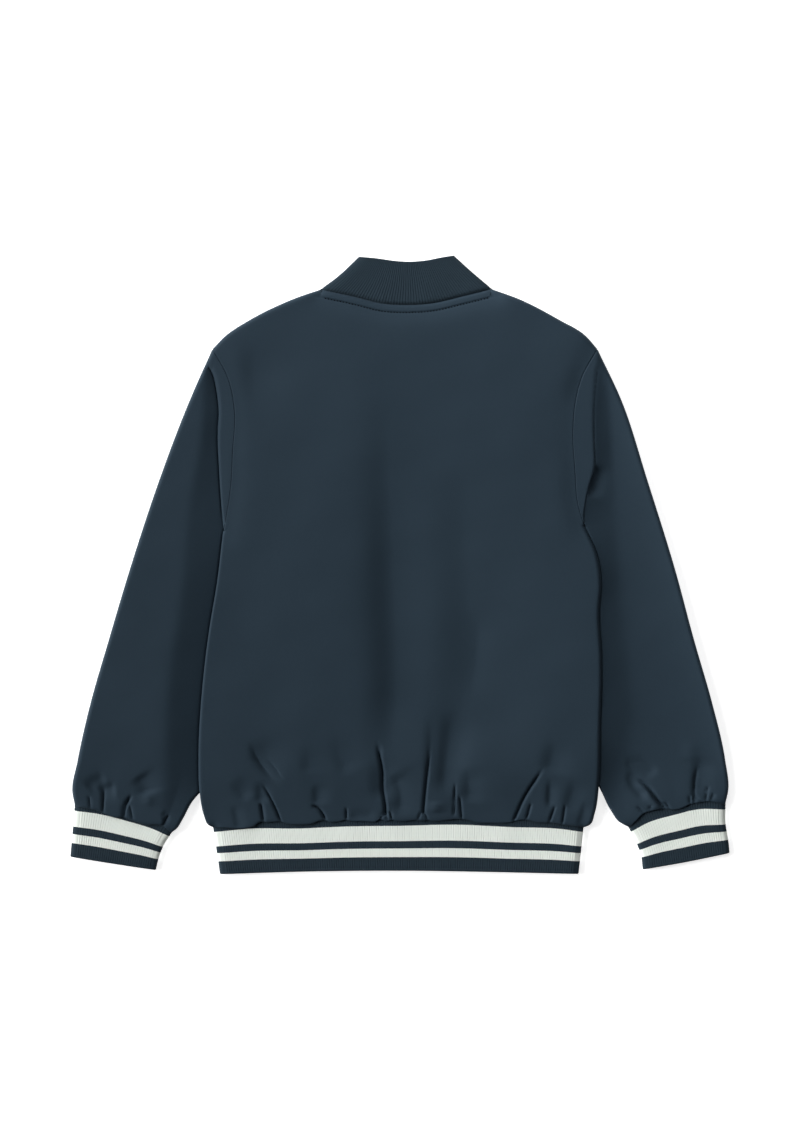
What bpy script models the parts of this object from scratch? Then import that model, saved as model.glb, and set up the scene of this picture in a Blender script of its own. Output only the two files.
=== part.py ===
# A child's zip jacket laid flat on its front, back up: padded cloth panels, ribbed collar, cuffs
# and hem band, and an open-ended zip down the hidden front.
# Metres. +X is to the wearer's right as seen from above, +Y runs from hem to collar, +Z is up.
# Each panel is a wall about a middle surface. Plan outlines run along the middle of that wall.

import math
from collections import namedtuple

import bmesh
import bpy
import numpy as np
from mathutils import Matrix

# Driving sizes
WALL = 0.0025            # lightly padded cloth, and a doubled rib
SEAM_GAP = 0.0003        # between two panels that are sewn together
SLIT = 0.0006            # between the body's side and the sleeve that lies against it
LOW = WALL / 2           # middle of the lower layer, which rests on the table
BODY_TOP = 0.0075        # middle of the back panel
SLEEVE_TOP = 0.0072      # middle of a sleeve's upper layer
SLEEVE_INNER_TOP = 0.0058  # the same at the sleeve's inner edge, beside the body
RIB_TOP = 0.0057         # middle of the upper layer of every rib
NECK_TOP = 0.0062        # middle of the cloth where the collar is sewn on
ARMHOLE_TOP = 0.0060     # middle of the cloth at the armhole seam
PUFF = 0.0022            # how far gathered cloth swells above its rib
PUFF_REACH = 0.030       # and how far that swelling reaches from the seam
ROLL = 0.009             # width over which gathered cloth rolls down to its rib
SEAM_REACH = 0.009       # width of the hollow along an armhole or the neck seam
SEAM_LEAN = 0.5          # how far the wall leans over a gathered seam
FOLD_RADIUS = 0.0045     # how wide a folded edge is in plan
FOLD_ANGLES = (0, 40, 90)
FRONT_ARMHOLE_SCOOP = 0.008
ARMPIT = 0.0025          # length over which sleeve and body part below the armpit
NOTCH = 0.248            # from the armpit to where the sleeve parts from the body
TOUCHING = 1e-5          # a point this near a line lies on it
CENTRE = 0.003           # x of the centre front
ZIP_SLOT = 0.010         # between the two front edges
CENTRING = (0.0009, -0.0004, 0)  # puts the origin under the middle of the jacket's box

# Outlines of each side, from the neck down
Outline = namedtuple("Outline", "collar shoulder sleeve cuff armhole side band inner cuff_inner")
LEFT = Outline(
    collar=((-0.0385, 0.2930), (-0.0600, 0.2730), (-0.0755, 0.2615)),
    shoulder=((-0.0755, 0.2615), (-0.1050, 0.2508), (-0.1440, 0.2317), (-0.1660, 0.2173), (-0.1786, 0.2045)),
    sleeve=((-0.1786, 0.2045), (-0.2000, 0.1560), (-0.2290, 0.0800), (-0.2570, -0.0050), (-0.2770, -0.0720),
            (-0.2935, -0.1290), (-0.3065, -0.1860), (-0.3115, -0.2160), (-0.3090, -0.2285)),
    cuff=((-0.3090, -0.2285), (-0.3110, -0.2530), (-0.3132, -0.2777)),
    armhole=((-0.1786, 0.2045), (-0.1645, 0.1785), (-0.1577, 0.1435), (-0.1596, 0.1090), (-0.1615, 0.0740),
             (-0.1682, 0.0320)),
    side=((-0.1682, 0.0320), (-0.1735, -0.0135), (-0.1820, -0.0660), (-0.1880, -0.1180), (-0.1915, -0.1830),
          (-0.1905, -0.2160), (-0.1850, -0.2390), (-0.1775, -0.2490)),
    band=((-0.1775, -0.2490), (-0.1740, -0.2720), (-0.1708, -0.2940)),
    inner=((-0.1990, -0.2245), (-0.2080, -0.2410), (-0.2140, -0.2505), (-0.2190, -0.2540)),
    cuff_inner=((-0.2190, -0.2540), (-0.2267, -0.2660), (-0.2320, -0.2800), (-0.2343, -0.2900)),
)
RIGHT = Outline(
    collar=((0.0488, 0.2940), (0.0654, 0.2788), (0.0855, 0.2618)),
    shoulder=((0.0855, 0.2618), (0.1145, 0.2508), (0.1510, 0.2317), (0.1740, 0.2180), (0.1862, 0.2045)),
    sleeve=((0.1862, 0.2045), (0.2088, 0.1565), (0.2335, 0.0805), (0.2600, -0.0050), (0.2780, -0.0720),
            (0.2943, -0.1285), (0.3075, -0.1855), (0.3105, -0.2140), (0.3075, -0.2275)),
    cuff=((0.3075, -0.2275), (0.3075, -0.2460), (0.3100, -0.2610), (0.3114, -0.2742)),
    armhole=((0.1862, 0.2045), (0.1720, 0.1785), (0.1653, 0.1520), (0.1634, 0.1215), (0.1653, 0.0900),
             (0.1682, 0.0570), (0.1739, 0.0370)),
    side=((0.1739, 0.0370), (0.1860, 0.0086), (0.1897, -0.0180), (0.1878, -0.0437), (0.1901, -0.0874),
          (0.1888, -0.1615), (0.1877, -0.2050), (0.1820, -0.2370), (0.1728, -0.2490)),
    band=((0.1728, -0.2490), (0.1705, -0.2710), (0.1680, -0.2938)),
    inner=((0.1970, -0.2215), (0.2063, -0.2405), (0.2120, -0.2460), (0.2176, -0.2490)),
    cuff_inner=((0.2176, -0.2490), (0.2247, -0.2630), (0.2296, -0.2765), (0.2312, -0.2895)),
)

# Seams and free edges that run across, from the left or from the outer side
NECK_BACK = ((-0.0755, 0.2615), (-0.0450, 0.2550), (-0.0150, 0.2480), (0.0076, 0.2470), (0.0280, 0.2483),
             (0.0600, 0.2555), (0.0855, 0.2618))
COLLAR_EDGE = ((-0.0385, 0.2930), (-0.0230, 0.2915), (-0.0050, 0.2890), (0.0076, 0.2883), (0.0230, 0.2894),
               (0.0410, 0.2928), (0.0488, 0.2940))
HEM_SEAM = ((-0.1775, -0.2490), (-0.1435, -0.2455), (-0.0960, -0.2455), (-0.0530, -0.2435), (0.0030, -0.2427),
            (0.0510, -0.2415), (0.1060, -0.2440), (0.1510, -0.2457), (0.1728, -0.2490))
BAND_EDGE = ((-0.1708, -0.2940), (-0.0900, -0.2915), (0.0030, -0.2907), (0.0900, -0.2920), (0.1680, -0.2938))
CUFF_SEAM = {
    "left": ((-0.3090, -0.2285), (-0.2860, -0.2315), (-0.2575, -0.2390), (-0.2320, -0.2475), (-0.2190, -0.2540)),
    "right": ((0.3075, -0.2275), (0.2840, -0.2265), (0.2575, -0.2325), (0.2320, -0.2405), (0.2176, -0.2490)),
}
CUFF_EDGE = {
    "left": ((-0.3132, -0.2777), (-0.2740, -0.2840), (-0.2343, -0.2900)),
    "right": ((0.3114, -0.2742), (0.2710, -0.2825), (0.2312, -0.2895)),
}
# The hidden front neck, from the shoulder to the zip, and the collar's edge above it
NECK_FRONT = {
    "left": ((-0.0755, 0.2615), (-0.0610, 0.2360), (-0.0410, 0.2130), (-0.0190, 0.2000), (-0.0020, 0.1960)),
    "right": ((0.0855, 0.2618), (0.0690, 0.2360), (0.0480, 0.2130), (0.0250, 0.2000), (0.0080, 0.1960)),
}
COLLAR_FRONT_EDGE = {
    "left": ((-0.0385, 0.2930), (-0.0370, 0.2720), (-0.0290, 0.2540), (-0.0170, 0.2415), (-0.0020, 0.2370)),
    "right": ((0.0488, 0.2940), (0.0450, 0.2720), (0.0360, 0.2540), (0.0240, 0.2415), (0.0080, 0.2370)),
}

# Creases: each runs from a soft end (x0, y0) to its deep end (x1, y1)
Crease = namedtuple("Crease", "x0 y0 x1 y1 width depth")
BACK_CREASES = (
    Crease(-0.144, -0.172, -0.113, -0.245, 0.0070, 0.0018),
    Crease(-0.083, -0.226, -0.073, -0.245, 0.0060, 0.0014),
    Crease(-0.022, -0.177, -0.016, -0.245, 0.0065, 0.0022),
    Crease(0.025, -0.184, 0.021, -0.245, 0.0065, 0.0022),
    Crease(0.057, -0.200, 0.051, -0.245, 0.0065, 0.0018),
    Crease(0.130, -0.199, 0.107, -0.245, 0.0070, 0.0020),
    Crease(0.141, -0.205, 0.141, -0.245, 0.0060, 0.0013),
    Crease(-0.030, 0.190, -0.022, -0.150, 0.0180, 0.0009),
    Crease(0.055, 0.127, 0.047, -0.150, 0.0180, 0.0008),
)
SLEEVE_CREASES = {
    "left": (
        Crease(-0.181, 0.190, -0.172, 0.060, 0.0060, 0.0012),
        Crease(-0.284, -0.190, -0.284, -0.233, 0.0065, 0.0018),
        Crease(-0.258, -0.205, -0.259, -0.240, 0.0065, 0.0016),
        Crease(-0.238, -0.210, -0.228, -0.250, 0.0065, 0.0014),
    ),
    "right": (
        Crease(0.190, 0.190, 0.184, 0.070, 0.0060, 0.0012),
        Crease(0.226, -0.203, 0.252, -0.233, 0.0070, 0.0018),
        Crease(0.279, -0.200, 0.276, -0.228, 0.0065, 0.0018),
        Crease(0.292, -0.208, 0.291, -0.228, 0.0060, 0.0012),
    ),
}

# Where the grids have their rows and columns
HEM_CREASES = 7          # the first creases of the back reach its hem
HEM_CREASE_REACH = 0.007  # columns stand this far each side of each of them
ARMHOLE_SPANS = 6
SHOULDER_SPANS = 4
COLLAR_ROWS = (0, 0.35, 0.7, 1)
BESIDE_ROWS = (0, 0.008, 0.030, 0.058, 0.105, 0.175)  # below the armpit
CAP_LENGTH = 0.165       # of the sleeve's outer edge beside the armhole
CAP_ROWS = (0, 1 / 3, 2 / 3)  # where rings fan out over it from the armpit, as shares
ROLL_ROWS = (0.014, 0.005)  # above a gathered seam

# Stripes of the hem band and cuffs, from the seam to the edge, as shares of the rib's height
Stripe = namedtuple("Stripe", "ends_at colour")
STRIPES = (
    Stripe(0.10, "navy"),
    Stripe(0.42, "white"),
    Stripe(0.54, "navy"),
    Stripe(0.72, "white"),
    Stripe(1.00, "navy"),
)

# Zip
TAPE_WIDTH = 0.011
TAPE_THICKNESS = 0.0007
TAPE_LOW = WALL + SEAM_GAP
TAPE_MIDDLE = TAPE_LOW + TAPE_THICKNESS / 2
CHAIN_WIDTH = 0.0050
CHAIN_THICKNESS = 0.0018
TAPE_BOTTOM = -0.2880
TAPE_TOP = 0.2350
BOX_WIDTH = 0.0086
BOX_LENGTH = 0.0090
BOX_LOW = 0.0012
BOX_TOP = 0.0038
SLIDER_Y = 0.2200
SLIDER_WIDTH = 0.0084
SLIDER_LENGTH = 0.0100
PLATE = 0.0007           # thickness of the slider's two plates
FLANGE = 0.0006
POST_WIDTH = 0.0020
POST_LENGTH = 0.0022
POST_BOTTOM = SLIDER_Y + SLIDER_LENGTH / 2 - PLATE / 2 - POST_LENGTH
HINGE_OVERHANG = 0.0013  # from the slider's lower end to the pull's pin
HINGE_Y = SLIDER_Y - SLIDER_LENGTH / 2 - HINGE_OVERHANG
HINGE_Z = 0.0012
PIN_RADIUS = 0.00032
BORE_RADIUS = 0.00058
BARREL_RADIUS = 0.00088
BARREL_WIDTH = 0.0032
EAR_THICKNESS = 0.0008
PULL_LENGTH = 0.0200
PULL_WIDTH = 0.0058
PULL_THICKNESS = 0.0009

# Colour, roughness, metallic
FINISHES = {
    "navy_cloth": ((0.022, 0.034, 0.050), 0.85, 0.0),
    "navy_rib": ((0.020, 0.030, 0.040), 0.90, 0.0),
    "white_rib": ((0.720, 0.760, 0.710), 0.90, 0.0),
    "zip_tape": ((0.016, 0.024, 0.034), 0.80, 0.0),
    "zip_metal": ((0.300, 0.310, 0.320), 0.35, 1.0),
}


# Curves in plan

def curve(points, spacing=0.002):
    """Dense smooth line through a few points: a cubic between each two, tangents from neighbours."""
    points = np.array(points)
    chord = np.r_[0, np.cumsum(np.linalg.norm(np.diff(points, axis=0), axis=1))]
    slope = np.gradient(points, chord, axis=0)
    where = np.linspace(0, chord[-1], max(8, int(chord[-1] / spacing)))
    span = np.clip(np.searchsorted(chord, where, side="right") - 1, 0, len(chord) - 2)
    width = (chord[span + 1] - chord[span])[:, None]
    t = (where - chord[span])[:, None] / width
    start = (1 + 2 * t) * (1 - t) ** 2 * points[span] + t * (1 - t) ** 2 * width * slope[span]
    end = t ** 2 * (3 - 2 * t) * points[span + 1] + t ** 2 * (t - 1) * width * slope[span + 1]
    return start + end


def distances(line):
    return np.r_[0, np.cumsum(np.linalg.norm(np.diff(line, axis=0), axis=1))]


def at(line, where, values=None):
    """Points of a line at distances along it, or what some values given along it are there."""
    run = distances(line)
    values = line if values is None else values
    return np.stack([np.interp(where, run, values[:, axis]) for axis in (0, 1)], axis=1)


def normals(line, sign):
    """Unit normals of a line that runs down: to +X for sign 1 and to -X for sign -1."""
    tangent = np.gradient(line, axis=0)
    tangent /= np.linalg.norm(tangent, axis=1)[:, None]
    return sign * np.stack([-tangent[:, 1], tangent[:, 0]], axis=1)


def spread(line, count, head=True, tail=True):
    """Distances along a line: close together at a folded end, and even between."""
    total = distances(line)[-1]
    steps = FOLD_RADIUS * (1 - np.cos(np.radians(FOLD_ANGLES)))
    start = steps if head else steps[:1]
    end = total - (steps[::-1] if tail else steps[:1])
    return np.r_[start, np.linspace(start[-1], end[0], count + 1)[1:-1], end]


def nearest(points, lines):
    """Distance from each point to the nearest of some lines, and the unit direction to it."""
    starts = np.concatenate([line[:-1] for line in lines])
    runs = np.concatenate([np.diff(line, axis=0) for line in lines])
    share = ((points[:, None] - starts) * runs).sum(2) / (runs ** 2).sum(1)
    foot = starts + np.clip(share, 0, 1)[..., None] * runs
    away = foot - points[:, None]
    gap = np.linalg.norm(away, axis=2)
    best = gap.argmin(1)
    rows = np.arange(len(points))
    return gap[rows, best], away[rows, best] / np.maximum(gap[rows, best], 1e-9)[:, None]


def down_rows(total):
    """Distances below the armpit, the same on the body's side and on the sleeve against it."""
    return np.r_[BESIDE_ROWS, NOTCH, total - ROLL_ROWS[0], total - ROLL_ROWS[1], total]


class Side:
    """All the lines of one side of the jacket, from its outline table."""

    def __init__(self, name, table, sign):
        self.name = name
        self.sign = sign
        self.collar = curve(table.collar)
        self.shoulder = curve(table.shoulder)
        self.sleeve = curve(table.sleeve)
        self.cuff = curve(table.cuff)
        self.armhole = curve(table.armhole)
        self.side = curve(table.side)
        self.band = curve(table.band)
        self.cuff_inner = curve(table.cuff_inner)
        self.cuff_seam = curve(CUFF_SEAM[name])
        self.cuff_edge = curve(CUFF_EDGE[name])
        self.neck_front = curve(NECK_FRONT[name])
        self.collar_front_edge = curve(COLLAR_FRONT_EDGE[name])
        # The front armhole is scooped out further than the back one
        run = distances(self.armhole) / distances(self.armhole)[-1]
        scoop = FRONT_ARMHOLE_SCOOP * np.sin(math.pi * run)[:, None]
        self.armhole_front = self.armhole - np.array([sign, 0]) * scoop
        # The sleeve's inner edge lies a slit away from the body, then parts from it at the notch
        run = distances(self.side)
        beside = self.beside(np.r_[run[run < NOTCH], NOTCH])
        self.inner = np.concatenate([beside, curve(np.r_[beside[-1:], table.inner])[1:]])

    def beside(self, where):
        """Points of the sleeve's inner edge, facing points of the body's side below the armpit."""
        away = (WALL + SLIT) * np.clip(where / ARMPIT, 0, 1)[:, None]
        return at(self.side, where) + at(self.side, where, normals(self.side, self.sign)) * away

    def folds(self):
        """Every folded edge, with the direction that points away from the cloth."""
        outer = (self.collar, self.shoulder, self.sleeve, self.cuff, self.side, self.band)
        inner = (self.inner, self.cuff_inner)
        return ([(line, normals(line, self.sign)) for line in outer]
                + [(line, normals(line, -self.sign)) for line in inner])

    def arm_rows(self, line):
        """Points from the shoulder to the armpit, the same count on the back, front and sleeve."""
        return at(line, spread(line, ARMHOLE_SPANS))

    def side_rows(self):
        """Points from the armpit to the hem seam."""
        return at(self.side, down_rows(distances(self.side)[-1])[1:])

    def sleeve_rows(self):
        """The ends of the sleeve's rings on its outer and inner edges."""
        inner_length = distances(self.inner)[-1]
        outer_length = distances(self.sleeve)[-1]
        below_cap = down_rows(inner_length)[1:]
        stretch = (outer_length - ROLL_ROWS[0] - CAP_LENGTH) / (inner_length - ROLL_ROWS[0] - below_cap[0])
        outer = np.r_[CAP_LENGTH * np.array(CAP_ROWS), CAP_LENGTH + (below_cap[:-2] - below_cap[0]) * stretch,
                      outer_length - ROLL_ROWS[1], outer_length]
        inner = np.r_[below_cap[0] * np.array(CAP_ROWS), below_cap]
        facing = len(CAP_ROWS) + len(BESIDE_ROWS)
        inner = np.concatenate([self.beside(inner[:facing]), at(self.inner, inner[facing:])])
        return at(self.sleeve, outer), inner


LEFT_SIDE = Side("left", LEFT, -1)
RIGHT_SIDE = Side("right", RIGHT, 1)
SIDES = (LEFT_SIDE, RIGHT_SIDE)
FOLDS = LEFT_SIDE.folds() + RIGHT_SIDE.folds()
FOLD_LINES = [line for line, _ in FOLDS]
NECK_LINE = curve(NECK_BACK)
COLLAR_LINE = curve(COLLAR_EDGE)
HEM_LINE = curve(HEM_SEAM)
BAND_LINE = curve(BAND_EDGE)
ARMHOLES = [LEFT_SIDE.armhole, RIGHT_SIDE.armhole]


# Heights of the middle surface

def smoothstep(t):
    t = np.clip(t, 0, 1)
    return t * t * (3 - 2 * t)


def crease_depth(points, creases):
    """Soft troughs: a bell across each crease, growing from its soft end to its deep one."""
    depth = np.zeros(len(points))
    for crease in creases:
        start = np.array([crease.x0, crease.y0])
        run = np.array([crease.x1, crease.y1]) - start
        share = ((points - start) @ run) / (run @ run)
        across = np.linalg.norm(points - start - np.clip(share, 0, 1)[:, None] * run, axis=1)
        fade = smoothstep(share * 1.6) * smoothstep((1.3 - share) * 3)
        depth += crease.depth * np.exp(-(across / crease.width) ** 2) * fade
    return depth


def pulled(base, points, lines, level):
    """A base height that sinks to a level along some seams."""
    gap, _ = nearest(points, lines)
    return base + (level - base) * np.exp(-(gap / SEAM_REACH) ** 2)


def rolled(base, points, seam):
    """Gathered cloth: it swells near its rib and rolls down to the rib's height at the seam."""
    gap, _ = nearest(points, [seam])
    base = base + PUFF * np.exp(-((gap - ROLL) / PUFF_REACH) ** 2)
    return RIB_TOP + (base - RIB_TOP) * np.sqrt(1 - (1 - np.clip(gap / ROLL, 0, 1)) ** 2)


def back_top(points):
    base = np.full(len(points), BODY_TOP)
    base = pulled(base, points, ARMHOLES, ARMHOLE_TOP)
    base = pulled(base, points, [NECK_LINE], NECK_TOP)
    return rolled(base - crease_depth(points, BACK_CREASES), points, HEM_LINE)


def sleeve_top(side):
    def top(points):
        gap, _ = nearest(points, [side.inner])
        base = SLEEVE_TOP + (SLEEVE_INNER_TOP - SLEEVE_TOP) * np.exp(-(gap / 0.020) ** 2)
        base = base - crease_depth(points, SLEEVE_CREASES[side.name])
        base = pulled(base, points, ARMHOLES, ARMHOLE_TOP)
        return rolled(base, points, side.cuff_seam)
    return top


def collar_top(points):
    return pulled(np.full(len(points), RIB_TOP), points, [NECK_LINE], NECK_TOP)


def rib_top(points):
    return np.full(len(points), RIB_TOP)


def on_layer(plan, top, layer):
    """Middle points over a plan grid, on the upper layer (1) or the lower one (-1) in each column.
    Within a fold's radius of a folded edge the height follows a quarter ellipse."""
    flat = plan.reshape(-1, 2)
    middle = ((top(flat) + LOW) / 2).reshape(plan.shape[:2])
    gap, _ = nearest(flat, FOLD_LINES)
    bulge = np.sqrt(1 - (1 - np.clip(gap / FOLD_RADIUS, 0, 1)) ** 2).reshape(plan.shape[:2])
    height = middle + layer * (middle - LOW) * bulge
    return np.concatenate([plan, height[..., None]], axis=2), middle


def outward(points):
    """Level direction away from the cloth at points that lie on folded edges. At an armpit, where a
    body's edge and a sleeve's begin, it points on along the armhole."""
    total = np.zeros_like(points)
    for line, direction in FOLDS:
        gap, _ = nearest(points, [line])
        vertex = np.linalg.norm(points[:, None] - line, axis=2).argmin(1)
        total += np.where((gap < TOUCHING)[:, None], direction[vertex], 0)
    for line in ARMHOLES:
        at_armpit = np.linalg.norm(points - line[-1], axis=1) < TOUCHING
        total = np.where(at_armpit[:, None], line[-1] - line[-2], total)
    return total / np.maximum(np.linalg.norm(total, axis=1), 1e-9)[:, None]


def wall_direction(points, top, layer, lean):
    """Direction out through the wall: level at a folded edge, upright away from it."""
    rise = (top(points) - LOW) / 2
    gap, towards = nearest(points, FOLD_LINES)
    share = 1 - np.clip(gap / FOLD_RADIUS, 0, 1)
    towards = np.where((gap > TOUCHING)[:, None], towards, outward(points))
    level = towards * (share / FOLD_RADIUS)[:, None]
    upright = np.sqrt(1 - share ** 2) / rise
    level[:, 1] -= np.where(layer > 0, lean * upright, 0)
    direction = np.concatenate([level, (layer * upright)[:, None]], axis=1)
    return direction / np.linalg.norm(direction, axis=1)[:, None]


# Grids

def fill(top, bottom, left, right):
    """Grid of plan points between four edges that are given point by point."""
    def share(edge):
        return distances(edge) / distances(edge)[-1]
    down_left = share(left)[:, None]
    down_right = share(right)[:, None]
    down = (down_left + down_right) / 2
    across = (1 - down) * share(top) + down * share(bottom)
    down = ((1 - across) * down_left + across * down_right)[..., None]
    across = across[..., None]
    corners = ((1 - across) * ((1 - down) * top[0] + down * bottom[0])
               + across * ((1 - down) * top[-1] + down * bottom[-1]))
    ruled = (1 - down) * top + down * bottom
    return ruled + (1 - across) * left[:, None] + across * right[:, None] - corners


def wall_normals(grid, layer, closed):
    """Outward directions through the wall, from the differences along rows and columns."""
    wide = np.concatenate([grid[:, -1:], grid, grid[:, :1]], axis=1) if closed else grid
    along = wide[:, 2:] - wide[:, :-2] if closed else np.gradient(grid, axis=1)
    normal = np.cross(np.gradient(grid, axis=0), along)
    normal /= np.linalg.norm(normal, axis=2)[..., None]
    return normal * np.sign((normal[..., 2] * layer).sum())


Run = namedtuple("Run", "rows columns step lean")  # points of one edge; step leads into the panel


def edge_run(plan, edge, first=0, last=None, lean=0.0):
    """The points of one edge of a grid, all of them or from a first to a last one."""
    rows, columns = plan.shape[:2]
    count = columns if edge in ("top", "bottom") else rows
    run = np.arange(first, count if last is None else last + 1)
    fixed = np.full(len(run), {"top": 0, "left": 0, "bottom": rows - 1, "right": columns - 1}[edge])
    step = {"top": (1, 0), "bottom": (-1, 0), "left": (0, 1), "right": (0, -1)}[edge]
    if edge in ("top", "bottom"):
        return Run(fixed, run, step, lean)
    return Run(run, fixed, step, lean)


def panel(name, plan, top, layer, finishes, seams=(), folds=(), closed=False, finish_of_row=None):
    """A wall over a plan grid. It ends half a seam gap short of its seams, in plan, and of the folded
    edges where the upper and lower panels meet, in height."""
    layer = np.broadcast_to(layer, plan.shape[1]).astype(float)
    grid, middle = on_layer(plan, top, layer)
    normal = wall_normals(grid, layer, closed)
    near_fold = nearest(plan.reshape(-1, 2), FOLD_LINES)[0].reshape(plan.shape[:2]) < FOLD_RADIUS
    layers = np.broadcast_to(layer, plan.shape[:2])
    normal[near_fold] = wall_direction(plan[near_fold], top, layers[near_fold], 0)
    for run in seams:
        points = plan[run.rows, run.columns]
        normal[run.rows, run.columns] = wall_direction(points, top, layer[run.columns], run.lean)
    for run in folds:
        grid[run.rows, run.columns, 2] = middle[run.rows, run.columns] + layer[run.columns] * SEAM_GAP / 2
    whole = grid.copy()
    for run in seams:
        edge = whole[run.rows, run.columns]
        around = np.concatenate([edge[-1:], edge, edge[:1]]) if closed else edge
        along = around[2:] - around[:-2] if closed else np.gradient(edge, axis=0)
        inside = np.cross(normal[run.rows, run.columns], along)
        step = whole[run.rows + run.step[0], run.columns + run.step[1]] - edge
        inside *= np.sign((inside * step).sum(1) / np.linalg.norm(inside, axis=1) ** 2)[:, None]
        grid[run.rows, run.columns] += inside / np.linalg.norm(inside, axis=1)[:, None] * SEAM_GAP / 2
    return shell(name, grid, normal, finishes, closed, finish_of_row)


def shell(name, grid, normal, finishes, closed, finish_of_row):
    """A closed wall about a grid of middle points. A tube's grid joins its last column to its first."""
    rows, columns = grid.shape[:2]
    points = np.concatenate([grid + normal * WALL / 2, grid - normal * WALL / 2]).reshape(-1, 3)
    finish_of_row = finish_of_row or [0] * (rows - 1)
    spans = columns if closed else columns - 1
    inner = rows * columns
    faces = []
    slots = []
    for column in range(spans):
        beside = (column + 1) % columns
        for row in range(rows - 1):
            a, b = row * columns + column, row * columns + beside
            faces.append((a, a + columns, b + columns, b))
            faces.append((a + inner, b + inner, b + columns + inner, a + columns + inner))
            slots += [finish_of_row[row]] * 2
        low = (rows - 1) * columns
        faces.append((column, beside, beside + inner, column + inner))
        faces.append((column + low, column + low + inner, beside + low + inner, beside + low))
        slots += [finish_of_row[0], finish_of_row[-1]]
    if not closed:
        for row in range(rows - 1):
            a, b = row * columns, row * columns + columns - 1
            faces.append((a, a + inner, a + columns + inner, a + columns))
            faces.append((b, b + columns, b + columns + inner, b + inner))
            slots += [finish_of_row[row]] * 2
    mesh = bpy.data.meshes.new(name)
    mesh.from_pydata(points.tolist(), [], faces)
    mesh.polygons.foreach_set("material_index", slots)
    work = bmesh.new()
    work.from_mesh(mesh)
    bmesh.ops.triangulate(work, faces=work.faces)
    bmesh.ops.recalc_face_normals(work, faces=work.faces)
    work.to_mesh(mesh)
    work.free()
    mesh.shade_smooth()
    return placed(name, mesh, finishes)


# Objects and materials

def material(name):
    if name in bpy.data.materials:
        return bpy.data.materials[name]
    colour, roughness, metallic = FINISHES[name]
    made = bpy.data.materials.new(name)
    made.use_nodes = True
    shader = made.node_tree.nodes["Principled BSDF"]
    shader.inputs["Base Color"].default_value = (*colour, 1)
    shader.inputs["Roughness"].default_value = roughness
    shader.inputs["Metallic"].default_value = metallic
    return made


def placed(name, mesh, finishes, location=(0, 0, 0), cutter=False):
    """An object in the jacket's collection, or among the cutters, under the empty that centres it."""
    item = bpy.data.objects.new(name, mesh)
    for finish in finishes:
        mesh.materials.append(material(finish))
    item.parent = ground
    item.location = location
    (tools if cutter else jacket).objects.link(item)
    if cutter:
        item.hide_render = True
        item.display_type = "WIRE"
    return item


def collection(name):
    made = bpy.data.collections.new(name)
    bpy.context.scene.collection.children.link(made)
    return made


# Cloth and ribs

def hem_points():
    """Along the hem seam: close together at the side folds, and at each crease and beside it."""
    steps = FOLD_RADIUS * (1 - np.cos(np.radians(FOLD_ANGLES)))
    run = distances(HEM_LINE)
    where = []
    for crease in BACK_CREASES[:HEM_CREASES]:
        middle_of_crease = np.interp(crease.x1, HEM_LINE[:, 0], run)
        where += [middle_of_crease - HEM_CREASE_REACH, middle_of_crease, middle_of_crease + HEM_CREASE_REACH]
    return np.r_[steps, where, run[-1] - steps[::-1]]


def front_hem_points(side):
    """The same points on one front, from the side fold to the front edge."""
    run = distances(HEM_LINE)
    where = hem_points()
    edge = np.interp(front_edge(side), HEM_LINE[:, 0], run)
    keep = where[(where - edge) * side.sign > HEM_CREASE_REACH / 2]
    return np.r_[keep, edge] if side.sign < 0 else np.r_[keep[::-1], edge]


def front_edge(side):
    return CENTRE + side.sign * ZIP_SLOT / 2


def neck_points():
    """As many as make the back's top edge as long, in points, as its hem."""
    shoulder = len(spread(LEFT_SIDE.shoulder, SHOULDER_SPANS, tail=False))
    return spread(NECK_LINE, len(hem_points()) - 2 * (shoulder - 1) - 2 * len(FOLD_ANGLES) + 1)


def front_neck_spans(side):
    """As many as make the front's top edge as long, in points, as its hem."""
    shoulder = len(spread(side.shoulder, SHOULDER_SPANS, tail=False))
    return len(front_hem_points(side)) - (shoulder - 1) - len(FOLD_ANGLES)


def shoulder_points(side):
    """From the armhole to the neck."""
    line = side.shoulder[::-1]
    return at(line, spread(line, SHOULDER_SPANS, tail=False))


def front_neck_points(side, line):
    """From the shoulder to the front edge, along the front neck seam or the collar's edge above it."""
    return at(line, spread(line, front_neck_spans(side), tail=False))


def make_back():
    neck = at(NECK_LINE, neck_points())
    left, right = (shoulder_points(side) for side in SIDES)
    top = np.concatenate([left[:-1], neck, right[::-1][1:]])
    sides = [np.concatenate([side.arm_rows(side.armhole), side.side_rows()]) for side in SIDES]
    plan = fill(top, at(HEM_LINE, hem_points()), *sides)
    armpit = len(LEFT_SIDE.arm_rows(LEFT_SIDE.armhole)) - 1
    first_neck = len(left) - 1
    last_neck = first_neck + len(neck) - 1
    seams = [edge_run(plan, "top", first_neck, last_neck), edge_run(plan, "left", 0, armpit),
             edge_run(plan, "right", 0, armpit), edge_run(plan, "bottom", lean=SEAM_LEAN)]
    folds = [edge_run(plan, "top", 0, first_neck), edge_run(plan, "top", last_neck),
             edge_run(plan, "left", armpit), edge_run(plan, "right", armpit)]
    panel("back", plan, back_top, 1, ["navy_cloth"], seams, folds)


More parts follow.
